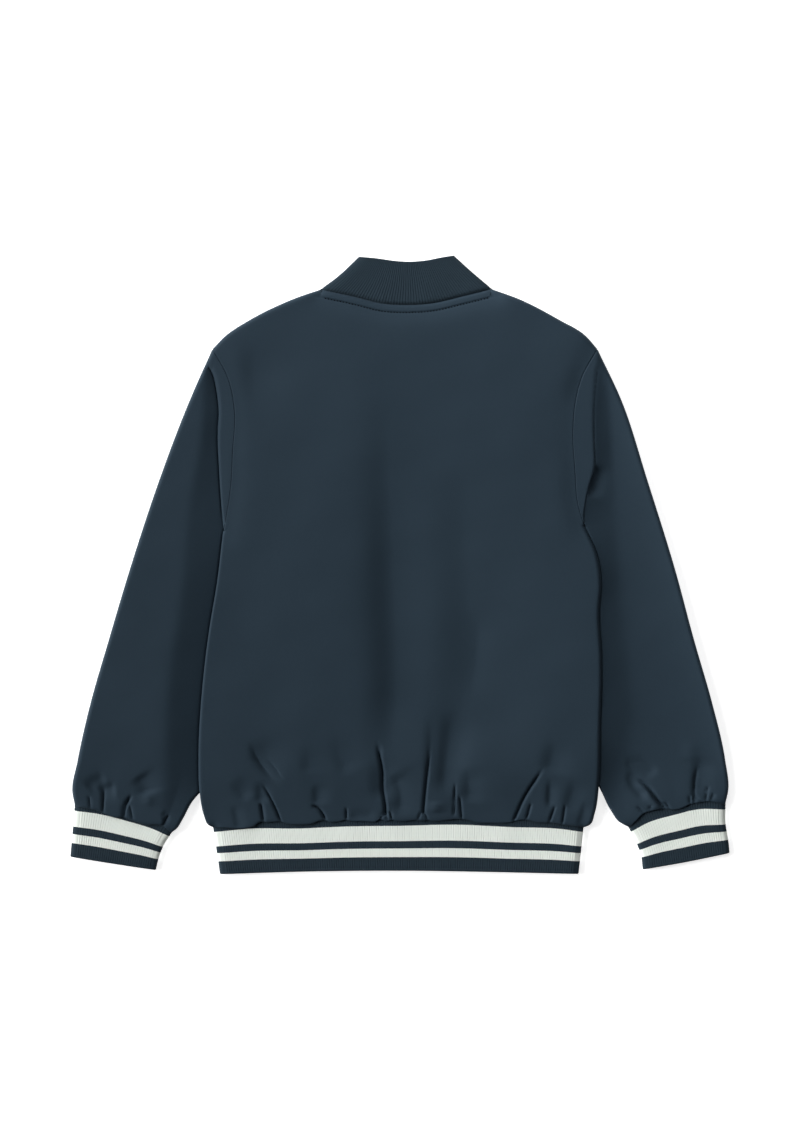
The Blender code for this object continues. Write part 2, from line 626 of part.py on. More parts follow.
def make_front(side):
    shoulder = shoulder_points(side)
    top = np.concatenate([shoulder[:-1], front_neck_points(side, side.neck_front)])
    bottom = at(HEM_LINE, front_hem_points(side))
    outer = np.concatenate([side.arm_rows(side.armhole_front), side.side_rows()])
    down = (distances(outer) / distances(outer)[-1])[:, None]
    plan = fill(top, bottom, outer, (1 - down) * top[-1] + down * bottom[-1])
    armpit = len(side.arm_rows(side.armhole)) - 1
    seams = [edge_run(plan, "top", len(shoulder) - 1), edge_run(plan, "left", 0, armpit),
             edge_run(plan, "bottom")]
    folds = [edge_run(plan, "top", 0, len(shoulder) - 1), edge_run(plan, "left", armpit)]
    panel(f"front_{side.name}", plan, back_top, -1, ["navy_cloth"], seams, folds)


def ring(upper, lower):
    """A tube's grid from its upper half, outer edge first, and its lower half, which go round together."""
    layer = np.r_[np.ones(upper.shape[1]), -np.ones(lower.shape[1] - 2)]
    layer[[0, upper.shape[1] - 1]] = 0
    return np.concatenate([upper, lower[:, -2:0:-1]], axis=1), layer


def make_sleeve(side):
    outer, inner = side.sleeve_rows()
    end = at(side.cuff_seam, spread(side.cuff_seam, ARMHOLE_SPANS))
    halves = [fill(side.arm_rows(line), end, outer, inner) for line in (side.armhole, side.armhole_front)]
    plan, layer = ring(*halves)
    seams = [edge_run(plan, "top"), edge_run(plan, "bottom", lean=SEAM_LEAN)]
    panel(f"sleeve_{side.name}", plan, sleeve_top(side), layer, ["navy_cloth"], seams, closed=True)


def stripe_rows():
    """Shares of a rib's height where its grid has rows, and the finish of each strip between them."""
    finishes = ["navy", "white"]
    return np.array([0] + [stripe.ends_at for stripe in STRIPES]), [finishes.index(s.colour) for s in STRIPES]


def along_share(line, shares):
    return at(line, shares * distances(line)[-1])


def make_cuff(side):
    shares, finish_of_row = stripe_rows()
    across = spread(side.cuff_seam, ARMHOLE_SPANS)
    top = at(side.cuff_seam, across)
    bottom = along_share(side.cuff_edge, across / across[-1])
    half = fill(top, bottom, along_share(side.cuff, shares), along_share(side.cuff_inner, shares))
    plan, layer = ring(half, half)
    seams = [edge_run(plan, "top", lean=SEAM_LEAN)]
    panel(f"cuff_{side.name}", plan, rib_top, layer, ["navy_rib", "white_rib"], seams, closed=True,
          finish_of_row=finish_of_row)


def strip(parts):
    """A strip's grid: from one front edge along the lower layer, over the back, and to the other."""
    left, back, right = parts
    layer = np.r_[-np.ones(left.shape[1] - 1), np.ones(back.shape[1]), -np.ones(right.shape[1] - 1)]
    first_fold = left.shape[1] - 1
    layer[[first_fold, first_fold + back.shape[1] - 1]] = 0
    return np.concatenate([left[:, :0:-1], back, right[:, 1:]], axis=1), layer


def make_hem_band():
    shares, finish_of_row = stripe_rows()
    total = distances(HEM_LINE)[-1]
    sides = [along_share(side.band, shares) for side in SIDES]
    back = fill(at(HEM_LINE, hem_points()), along_share(BAND_LINE, hem_points() / total), *sides)
    fronts = []
    for side, fold in zip(SIDES, sides):
        where = front_hem_points(side)
        top = at(HEM_LINE, where)
        bottom = along_share(BAND_LINE, where / total)
        bottom[-1, 0] = front_edge(side)
        fronts.append(fill(top, bottom, fold, top[-1] + shares[:, None] * (bottom[-1] - top[-1])))
    plan, layer = strip([fronts[0], back, fronts[1]])
    panel("hem_band", plan, rib_top, layer, ["navy_rib", "white_rib"],
          [edge_run(plan, "top", lean=SEAM_LEAN)], finish_of_row=finish_of_row)


def make_collar():
    shares = np.array(COLLAR_ROWS)
    sides = [along_share(side.collar, shares) for side in SIDES]
    across = neck_points() / distances(NECK_LINE)[-1]
    back = fill(along_share(COLLAR_LINE, across), at(NECK_LINE, neck_points()), *sides)
    fronts = []
    for side, fold in zip(SIDES, sides):
        top = front_neck_points(side, side.collar_front_edge)
        bottom = front_neck_points(side, side.neck_front)
        fronts.append(fill(top, bottom, fold, top[-1] + shares[:, None] * (bottom[-1] - top[-1])))
    plan, layer = strip([fronts[0], back, fronts[1]])
    panel("collar", plan, collar_top, layer, ["navy_rib"], [edge_run(plan, "bottom")])


# Zip

def block(name, size, location, finish="zip_metal", cutter=False):
    """A box of a given size about its middle."""
    work = bmesh.new()
    bmesh.ops.create_cube(work, size=1)
    bmesh.ops.scale(work, vec=size, verts=work.verts)
    mesh = bpy.data.meshes.new(name)
    work.to_mesh(mesh)
    work.free()
    return placed(name, mesh, [finish], location, cutter)


def rod(name, radius, length, location, segments=16, cutter=False):
    """A cylinder along X."""
    work = bmesh.new()
    bmesh.ops.create_cone(work, cap_ends=True, segments=segments, radius1=radius, radius2=radius, depth=length)
    bmesh.ops.rotate(work, verts=work.verts, matrix=Matrix.Rotation(math.pi / 2, 3, "Y"))
    mesh = bpy.data.meshes.new(name)
    work.to_mesh(mesh)
    work.free()
    return placed(name, mesh, ["zip_metal"], location, cutter)


def combined(item, others, operation):
    for other in others:
        step = item.modifiers.new(other.name, "BOOLEAN")
        step.operation = operation
        step.object = other


def between(low, high):
    """Size and middle along one axis."""
    return high - low, (low + high) / 2


def make_tapes():
    length, y = between(TAPE_BOTTOM, TAPE_TOP)
    for side in SIDES:
        x = CENTRE + side.sign * (CHAIN_WIDTH / 2 + SEAM_GAP + TAPE_WIDTH / 2)
        block(f"zip_tape_{side.name}", (TAPE_WIDTH, length, TAPE_THICKNESS), (x, y, TAPE_MIDDLE), "zip_tape")


def make_chain():
    length, y = between(TAPE_BOTTOM + BOX_LENGTH + SEAM_GAP, POST_BOTTOM - SEAM_GAP)
    block("zip_chain", (CHAIN_WIDTH, length, CHAIN_THICKNESS), (CENTRE, y, TAPE_MIDDLE))


def make_box():
    thickness, z = between(BOX_LOW, BOX_TOP)
    block("zip_box", (CHAIN_WIDTH, BOX_LENGTH, thickness), (CENTRE, TAPE_BOTTOM + BOX_LENGTH / 2, z))


def make_slider():
    """Two plates over and under the chain, joined by a post where its halves part, with flanges
    that close towards the tapes and two ears that hold the pull's pin."""
    running = CHAIN_THICKNESS / 2 + SEAM_GAP
    plate_middle = running + PLATE / 2
    lip, lip_middle = between(TAPE_THICKNESS / 2 + SEAM_GAP, running + PLATE / 2)
    pieces = [block("slider_top", (SLIDER_WIDTH, SLIDER_LENGTH, PLATE),
                    (CENTRE, SLIDER_Y, TAPE_MIDDLE + plate_middle), cutter=True)]
    for layer in (-1, 1):
        for side in (-1, 1):
            x = CENTRE + side * (SLIDER_WIDTH - FLANGE) / 2
            pieces.append(block("slider_flange", (FLANGE, SLIDER_LENGTH, lip),
                                (x, SLIDER_Y, TAPE_MIDDLE + layer * lip_middle), cutter=True))
    pieces.append(block("slider_post", (POST_WIDTH, POST_LENGTH, 2 * plate_middle),
                        (CENTRE, POST_BOTTOM + POST_LENGTH / 2, TAPE_MIDDLE), cutter=True))
    ear_height, ear_z = between(HINGE_Z - BARREL_RADIUS, TAPE_MIDDLE - plate_middle)
    ear_length, ear_y = between(HINGE_Y - BARREL_RADIUS, SLIDER_Y - SLIDER_LENGTH / 2 + PLATE)
    for side in (-1, 1):
        x = CENTRE + side * (BARREL_WIDTH / 2 + SEAM_GAP + EAR_THICKNESS / 2)
        pieces.append(block("slider_ear", (EAR_THICKNESS, ear_length, ear_height), (x, ear_y, ear_z), cutter=True))
    pin_length = BARREL_WIDTH + 2 * SEAM_GAP + EAR_THICKNESS
    pieces.append(rod("slider_pin", PIN_RADIUS, pin_length, (CENTRE, HINGE_Y, HINGE_Z), cutter=True))
    slider = block("zip_slider", (SLIDER_WIDTH, SLIDER_LENGTH, PLATE), (CENTRE, SLIDER_Y, TAPE_MIDDLE - plate_middle))
    combined(slider, pieces, "UNION")


def make_pull():
    """A barrel on the slider's pin, with a flat tab that widens clear of the ears. Its origin is
    on the hinge axis."""
    hinge = (CENTRE, HINGE_Y, HINGE_Z)
    tab_z = HINGE_Z - BARREL_RADIUS + PULL_THICKNESS / 2
    neck = 2.2 * BARREL_RADIUS
    tab = bpy.data.curves.new("pull_tab", "CURVE")
    tab.dimensions = "2D"
    tab.fill_mode = "BOTH"
    tab.extrude = PULL_THICKNESS / 2
    half = BARREL_WIDTH / 2
    wide = PULL_WIDTH / 2
    corner = wide / 2
    outline = [(half, 0), (half, -neck), (wide, -neck - corner), (wide, corner - PULL_LENGTH),
               (wide - corner, -PULL_LENGTH)]
    outline += [(-x, y) for x, y in outline[::-1]]
    spline = tab.splines.new("POLY")
    spline.points.add(len(outline) - 1)
    for point, (x, y) in zip(spline.points, outline):
        point.co = (x, y, 0, 1)
    spline.use_cyclic_u = True
    flat = bpy.data.objects.new("pull_tab", tab)
    tools.objects.link(flat)
    bpy.context.view_layer.update()
    mesh = bpy.data.meshes.new_from_object(flat.evaluated_get(bpy.context.evaluated_depsgraph_get()))
    bpy.data.objects.remove(flat)
    work = bmesh.new()
    work.from_mesh(mesh)
    bmesh.ops.remove_doubles(work, verts=work.verts, dist=1e-6)
    work.to_mesh(mesh)
    work.free()
    arm = placed("pull_arm", mesh, ["zip_metal"], (CENTRE, HINGE_Y, tab_z), cutter=True)
    bore = rod("pull_bore", BORE_RADIUS, 2 * BARREL_WIDTH, hinge, cutter=True)
    pull = rod("zip_pull", BARREL_RADIUS, BARREL_WIDTH, hinge)
    combined(pull, [arm], "UNION")
    combined(pull, [bore], "DIFFERENCE")


for old in list(bpy.data.objects):
    bpy.data.objects.remove(old)
jacket = collection("outdoor_jacket")
tools = collection("cutters")
ground = bpy.data.objects.new("ground", None)
jacket.objects.link(ground)
ground.location = CENTRING

make_back()
for each in SIDES:
    make_front(each)
    make_sleeve(each)
    make_cuff(each)
make_hem_band()
make_collar()
make_tapes()
make_chain()
make_box()
make_slider()
make_pull()
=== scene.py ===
# A child's zip jacket laid flat with its back up: cloth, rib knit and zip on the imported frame.
# Metres, in the frame's axes: +X to the right seen from above, +Y from hem to collar, +Z up. The pattern's
# lines and folds are in millimetres.

import math

import bmesh
import bpy
import numpy as np
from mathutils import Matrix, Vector


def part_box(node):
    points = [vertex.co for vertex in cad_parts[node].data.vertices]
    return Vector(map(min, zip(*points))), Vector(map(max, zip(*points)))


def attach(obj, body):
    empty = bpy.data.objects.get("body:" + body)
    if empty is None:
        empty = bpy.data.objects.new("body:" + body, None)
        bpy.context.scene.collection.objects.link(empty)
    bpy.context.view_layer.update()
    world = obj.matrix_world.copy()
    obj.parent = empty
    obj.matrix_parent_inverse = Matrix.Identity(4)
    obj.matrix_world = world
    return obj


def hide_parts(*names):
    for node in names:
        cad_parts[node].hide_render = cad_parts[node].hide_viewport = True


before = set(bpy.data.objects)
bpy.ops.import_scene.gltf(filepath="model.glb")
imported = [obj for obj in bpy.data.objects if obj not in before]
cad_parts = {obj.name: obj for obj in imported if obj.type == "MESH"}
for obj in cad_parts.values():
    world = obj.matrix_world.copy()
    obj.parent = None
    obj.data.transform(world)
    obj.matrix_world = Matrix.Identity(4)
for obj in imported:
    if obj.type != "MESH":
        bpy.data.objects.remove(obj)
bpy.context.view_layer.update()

# The pattern's lines are drawn about a centre front at zipX; the frame's zip says where they lie
pattern = {"zipX": 0.003, "tapeBottom": -0.288, "slot": 0.010}
chainLow, chainHigh = (np.array(corner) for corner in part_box("zip_chain"))
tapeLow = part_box("zip_tape_left")[0]
shift = np.array([(chainLow[0] + chainHigh[0]) / 2 - pattern["zipX"], tapeLow[1] - pattern["tapeBottom"]])

# Outlines of each side from the neck down, along the middle of the cloth
leftLines = {
    "collar": [(-38.5, 293), (-60, 273), (-75.5, 261.5)],
    "shoulder": [(-75.5, 261.5), (-105, 250.8), (-144, 231.7), (-166, 217.3), (-178.6, 204.5)],
    "sleeve": [(-178.6, 204.5), (-200, 156), (-229, 80), (-257, -5), (-277, -72), (-293.5, -129),
               (-306.5, -186), (-311.5, -216), (-309, -228.5)],
    "cuff": [(-309, -228.5), (-311, -253), (-313.2, -277.7)],
    "armhole": [(-178.6, 204.5), (-164.5, 178.5), (-157.7, 143.5), (-159.6, 109), (-161.5, 74),
                (-168.2, 32)],
    "side": [(-168.2, 32), (-173.5, -13.5), (-182, -66), (-188, -118), (-191.5, -183), (-190.5, -216),
             (-186.2, -239), (-183.2, -246.1), (-177.5, -249)],
    "band": [(-177.5, -249), (-174, -272), (-170.8, -294)],
    "inner": [(-199, -224.5), (-208, -241), (-214, -250.5), (-219, -254)],
    "cuffInner": [(-219, -254), (-226.7, -266), (-232, -280), (-234.3, -290)],
    "cuffSeam": [(-309, -228.5), (-286, -231.5), (-257.5, -239), (-232, -247.5), (-219, -254)],
    "cuffEdge": [(-313.2, -277.7), (-274, -284), (-234.3, -290)],
    "neckFront": [(-75.5, 261.5), (-61, 236), (-41, 213), (-19, 200), (-2, 196)],
    "collarFront": [(-38.5, 293), (-37, 272), (-29, 254), (-17, 241.5), (-2, 237)],
}
rightLines = {
    "collar": [(48.8, 294), (65.4, 278.8), (85.5, 261.8)],
    "shoulder": [(85.5, 261.8), (114.5, 250.8), (151, 231.7), (174, 218), (186.2, 204.5)],
    "sleeve": [(186.2, 204.5), (208.8, 156.5), (233.5, 80.5), (260, -5), (278, -72), (294.3, -128.5),
               (307.5, -185.5), (310.5, -214), (307.5, -227.5)],
    "cuff": [(307.5, -227.5), (307.5, -246), (310, -261), (311.4, -274.2)],
    "armhole": [(186.2, 204.5), (172, 178.5), (165.3, 152), (163.4, 121.5), (165.3, 90), (168.2, 57),
                (173.9, 37)],
    "side": [(173.9, 37), (186, 8.6), (189.7, -18), (187.8, -43.7), (190.1, -87.4), (188.8, -161.5),
             (187.7, -205), (183.5, -236), (179.7, -246.2), (172.8, -249)],
    "band": [(172.8, -249), (170.5, -271), (168, -293.8)],
    "inner": [(193.4, -219.5), (196.9, -227.2), (201.5, -235), (206.3, -242.2), (217.6, -249)],
    "cuffInner": [(217.6, -249), (224.7, -263), (229.6, -276.5), (231.2, -289.5)],
    "cuffSeam": [(307.5, -227.5), (284, -226.5), (257.5, -232.5), (232, -240.5), (217.6, -249)],
    "cuffEdge": [(311.4, -274.2), (271, -282.5), (231.2, -289.5)],
    "neckFront": [(85.5, 261.8), (69, 236), (48, 213), (25, 200), (8, 196)],
    "collarFront": [(48.8, 294), (45, 272), (36, 254), (24, 241.5), (8, 237)],
}
acrossLines = {
    "neck": [(-75.5, 261.5), (-45, 255), (-15, 248), (7.6, 247), (28, 248.3), (60, 255.5), (85.5, 261.8)],
    "collarEdge": [(-38.5, 293), (-23, 291.5), (-5, 289), (7.6, 288.3), (23, 289.4), (41, 292.8),
                   (48.8, 294)],
    "hem": [(-177.5, -249), (-143.5, -245.5), (-96, -245.5), (-53, -243.5), (3, -242.7), (51, -241.5),
            (106, -244), (151, -245.7), (172.8, -249)],
    # The lower edge of the back's cloth hangs lower between its gathers
    "edge": [(-177.5, -249), (-164, -249.6), (-146, -249.6), (-139, -247.8), (-134.4, -244.2),
             (-125, -244.1), (-113.6, -243.6), (-106.6, -245.8), (-93.9, -246.5), (-84.6, -245.7),
             (-76.5, -242.7), (-71.3, -242.5), (-67, -243.9), (-59.1, -243.7), (-52.3, -242.3),
             (-48.8, -243.1), (-35, -243.4), (-23.3, -243.4), (-19.8, -241.6), (-12.9, -243.4),
             (-8.3, -242), (-4.5, -242.7), (5.8, -243), (14.5, -242.1), (20.6, -242.8), (25.5, -242),
             (30, -243), (39.3, -242.7), (54, -241.3), (64.1, -242.1), (71.5, -244.3), (84.9, -245),
             (103.6, -244.3), (111.7, -242.3), (121, -242.1), (127.7, -244.1), (143.8, -244.6),
             (151.9, -246.1), (163.9, -247.5), (172.8, -249)],
    "bandEdge": [(-170.8, -294), (-90, -291.5), (3, -290.7), (90, -292), (168, -293.8)],
}

# Heights are those of the middle of a wall
cloth = {
    "wall": 0.0016,
    "rim": 0.0011,           # width over which a wall rounds off at a sewn edge
    "low": 0.0008,           # the lower layer, which lies on the table
    "bodyTop": 0.0118,
    "bodySwells": ((0.0009, 0.16, 3), (0.0004, 0.05, 4)),        # each with its height, length and seed
    "sleeveSwells": ((0.0006, 0.12, 11), (0.0003, 0.05, 12)),
    "armholeTop": 0.0106,
    "neckTop": 0.0072,
    "seamReach": 0.012,      # width of the hollow along a sewn seam
    "foldReach": 0.0085,     # width over which a layer rounds down to a folded edge
    "lowFoldReach": 0.0045,
    "edgeTop": 0.0076,       # gathered cloth stands over its rib at the seam
    "roll": 0.0046,          # width over which it rolls down to that
    "sink": 0.0036,          # it sinks a little before that
    "sinkReach": 0.046,
    "riseReach": 0.038,      # within which it stands at least at edgeTop
    "caught": 0.35,          # share of a gather's depth that is left in the seam
    "caughtReach": 0.0035,
    "spare": 0.0003,         # least room between a trough and the lower layer
    "beside": 0.0009,        # from the body's side to the sleeve tucked against it
    "besideStart": 0.004,    # way down from the armpit over which that opens
    "notch": 0.248,          # where the sleeve parts from it, down from the armpit
    "frontInset": 0.008,     # the front's armhole is cut in further
}
# A rib's lower layer climbs over its cloth by rise within riseReach of the seam. aimRow is the row that aims
# its tucked part, and tuckRun is that part's run in UV
rib = {"wall": 0.0022, "rim": 0.0011, "low": 0.0014, "top": 0.0055, "pitch": 0.0022, "depth": 0.00018,
       "aimRow": 8, "tuckRun": 0.1,
       "swells": ((0.0003, 0.04, 31),), "rise": 0.0014, "riseReach": 0.0045}
# Shares of foldReach at the shoulder, the sleeve's outer edge, the body's side and the sleeve's inner edge.
# Ribs take all of it
foldShares = {"left": [0.32, 0.28, 0.06, 0.25], "right": [0.32, 0.28, 0.30, 0.10]}
# Rows of points over a rounded edge: its reach times 1 - cos of each angle
foldSteps = cloth["foldReach"] * (1 - np.cos(np.radians([0, 4, 8, 13, 20, 29, 40, 53, 70, 90])))


# Lines in plan

def smooth(t):
    # 0 to 1 with level ends: 3 t^2 - 2 t^3
    t = np.clip(t, 0, 1)
    return t * t * (3 - 2 * t)


def distances(line):
    # Way along a line to each of its points
    return np.r_[0, np.cumsum(np.linalg.norm(np.diff(line, axis=0), axis=1))]


def lengthOf(line):
    # Whole length of a line
    return distances(line)[-1]


def curve(points, spacing=0.003):
    # Smooth line through points in millimetres: a cubic between each two, with slopes from their neighbours
    points = np.array(points) / 1000 + shift
    chord = distances(points)
    slope = np.gradient(points, chord, axis=0)
    where = np.linspace(0, chord[-1], max(8, int(chord[-1] / spacing)))
    span = np.clip(np.searchsorted(chord, where, side="right") - 1, 0, len(chord) - 2)
    width = (chord[span + 1] - chord[span])[:, None]
    t = (where - chord[span])[:, None] / width
    start = (1 + 2 * t) * (1 - t) ** 2 * points[span] + t * (1 - t) ** 2 * width * slope[span]
    return start + t ** 2 * (3 - 2 * t) * points[span + 1] + t ** 2 * (t - 1) * width * slope[span + 1]


def at(line, where):
    # Points of a line at distances along it
    run = distances(line)
    return np.stack([np.interp(where, run, line[:, axis]) for axis in range(line.shape[1])], axis=1)


def share(line, shares):
    # Points of a line at shares of its length
    return at(line, np.asarray(shares) * lengthOf(line))


def lineNormals(line, sign):
    # To +X of a line that runs down for sign 1, and to -X for sign -1
    tangent = np.gradient(line, axis=0)
    tangent /= np.linalg.norm(tangent, axis=1)[:, None]
    return sign * np.stack([-tangent[:, 1], tangent[:, 0]], axis=1)


def spread(total, spans, tail=True):
    # Distances along a line, close together at its folded or sewn ends and even between
    end = total - (foldSteps[::-1] if tail else foldSteps[:1])
    return np.r_[foldSteps, np.linspace(foldSteps[-1], end[0], spans + 1)[1:-1], end]


def beside(points, path, chunk=4000):
    # For each point, about its foot on a path: share along the path, distance, signed offset (plus to the
    # path's left), and the way from the foot to the point
    starts, runs = path[:-1], np.diff(path, axis=0)
    squares = (runs ** 2).sum(1)
    marks = distances(path)
    found = []
    for first in range(0, len(points), chunk):
        some = points[first:first + chunk]
        reach = some[:, None] - starts
        t = np.clip((reach * runs).sum(2) / squares, 0, 1)
        away = reach - t[..., None] * runs
        gap = np.linalg.norm(away, axis=2)
        best = gap.argmin(1)
        row = np.arange(len(some))
        turn = runs[best, 0] * reach[row, best, 1] - runs[best, 1] * reach[row, best, 0]
        place = (marks[best] + t[row, best] * np.sqrt(squares[best])) / marks[-1]
        gap, away = gap[row, best], away[row, best]
        found.append(np.column_stack([place, gap, np.copysign(gap, turn), away]))
    return np.concatenate(found).T


def gapTo(points, lines):
    # Distance from each point to the nearest of some lines
    return np.min([beside(points, line)[1] for line in lines], axis=0)


class Side:
    # All the lines of one side; sign is -1 on the left and 1 on the right
    def __init__(self, name, lines, sign):
        self.name, self.sign = name, sign
        for key, points in lines.items():
            setattr(self, key, curve(points))
        run = distances(self.armhole)
        inset = np.array([sign * cloth["frontInset"], 0])
        self.armholeFront = self.armhole - inset * np.sin(math.pi * run / run[-1])[:, None]
        # The sleeve's inner edge is tucked against the body's side, then parts from it at the notch
        run = distances(self.side)
        where = np.r_[run[run < cloth["notch"]], cloth["notch"]]
        away = cloth["beside"] * smooth(where / cloth["besideStart"])[:, None]
        start = at(self.side, where) + share(lineNormals(self.side, sign), where / run[-1]) * away
        self.inner = np.concatenate([start, curve(np.r_[(start[-1:] - shift) * 1000, lines["inner"]])[1:]])
        self.folds = [self.shoulder, self.sleeve, self.side, self.inner, self.collar, self.cuff, self.band,
                      self.cuffInner]
        self.foldShares = foldShares[name] + [1, 1, 1, 1]


sides = [Side("left", leftLines, -1), Side("right", rightLines, 1)]
neckLine, collarLine, hemLine, bandLine = (curve(acrossLines[key])
                                            for key in ("neck", "collarEdge", "hem", "bandEdge"))
edgeLine = curve(acrossLines["edge"], 0.0012)
# The neck seam, carried on straight past its ends
neckLong = np.concatenate([neckLine[:1] - 6 * (neckLine[1:2] - neckLine[:1]), neckLine,
                           neckLine[-1:] + 6 * (neckLine[-1:] - neckLine[-2:-1])])
foldLines = [pair for side in sides for pair in zip(side.folds, side.foldShares)]
armholes = [side.armhole for side in sides]


# Folds and creases

creaseForm = {"depth": 1.2, "left": 1.5, "right": 1.3, "power": 1.7, "grip": 0.85}
# A crease draws points in within reach, but less and less where an edge is nearer than still
gripForm = {"reach": 0.006, "still": 0.004}
farOff = 4.5  # widths from a fold beyond which nothing is left of it


def soft(path, depth, left, right=None, power=2.0, fadeIn=0.5, fadeOut=0.3, grip=0):
    # A soft trough along a path, all in millimetres: depth * exp(-(distance / width) ^ power), with its own
    # width each side of the path. It grows over the first fadeIn of its length and dies away over the last
    # fadeOut. A negative depth makes a ridge
    return dict(path=curve(path, 0.004), depth=depth / 1000, left=left / 1000, right=(right or left) / 1000,
                power=power, fadeIn=fadeIn, fadeOut=fadeOut, grip=grip)


def crisp(path, depth=2.0, width=2.0, fadeIn=0.35, fadeOut=0.0, left=1.0):
    # A sharp narrow crease: depth * (1 - distance / width) ^ power, so its sides steepen towards its line
    form = creaseForm
    return dict(path=curve(path), depth=form["depth"] * depth / 1000, left=form["left"] * left / 1000,
                right=form["right"] * width / 1000, power=0, fadeIn=fadeIn, fadeOut=fadeOut,
                grip=form["grip"])


def strengthOf(one, place):
    # smooth(place / fadeIn) * smooth((1 - place) / fadeOut), where place is the share of the way along
    grown = smooth(place / one["fadeIn"]) if one["fadeIn"] else 1.0
    return grown * (smooth((1 - place) / one["fadeOut"]) if one["fadeOut"] else 1.0)


def boxed(points, path, margin):
    # The points in a path's box with a margin round it
    return ((points > path.min(0) - margin) & (points < path.max(0) + margin)).all(1)


def reliefOf(points, folds):
    # All folds' depths together, under 0 in troughs
    total = np.zeros(len(points))
    for one in folds:
        near = boxed(points, one["path"], farOff * max(one["left"], one["right"]))
        if not near.any():
            continue
        place, _, offset = beside(points[near], one["path"])[:3]
        far = np.abs(offset) / np.where(offset > 0, one["left"], one["right"])
        form = np.exp(-far ** one["power"]) if one["power"] else np.clip(1 - far, 0, 1) ** creaseForm["power"]
        total[near] -= one["depth"] * strengthOf(one, place) * form
    return total


def drawnIn(plan, folds, edges):
    # Moves plan points towards each crease, so that the mesh is finer there, but not near the edges
    points = plan.reshape(-1, 2).copy()
    for one in folds:
        near = np.nonzero(boxed(points, one["path"], 3 * gripForm["reach"]))[0]
        if one["grip"] and len(near):
            place, gap, _, *away = beside(points[near], one["path"])
            still = smooth(gapTo(points[near], edges) / gripForm["still"])
            pull = one["grip"] * np.exp(-(gap / gripForm["reach"]) ** 2) * strengthOf(one, place) * still
            points[near] -= np.array(away).T * pull[:, None]
    return points.reshape(plan.shape)


def ripple(points, size, seed):
    # Slow uneven swell: a few sine waves of about one length in seeded directions
    random = np.random.default_rng(seed)
    total = np.zeros(len(points))
    for _ in range(7):
        angle = random.uniform(0, 2 * math.pi)
        wave = 2 * math.pi / (size * random.uniform(0.7, 1.5))
        along = points @ (wave * np.array([math.cos(angle), math.sin(angle)]))
        total += np.sin(along + random.uniform(0, 6.3))
    return total / 7


def swelled(points, swells):
    # Swells added up, each height times its ripple
    return sum(height * ripple(points, size, seed) for height, size, seed in swells)


def pulled(base, gap, level):
    # Drawn to a level at a seam: base + (level - base) * exp(-(gap / seamReach) ^ 2)
    return base + (level - base) * np.exp(-(gap / cloth["seamReach"]) ** 2)


def rolled(base, points, seam):
    # Gathered cloth sinks a little towards its rib, and rolls down at the seam in a quarter ellipse
    gap = gapTo(points, [seam])
    base = base - cloth["sink"] * np.exp(-(gap / cloth["sinkReach"]) ** 2)
    base = base + (np.maximum(base, cloth["edgeTop"]) - base) * np.exp(-(gap / cloth["riseReach"]) ** 2)
    arc = np.sqrt(1 - (1 - np.clip(gap / cloth["roll"], 0, 1)) ** 2)
    return cloth["edgeTop"] + (base - cloth["edgeTop"]) * arc


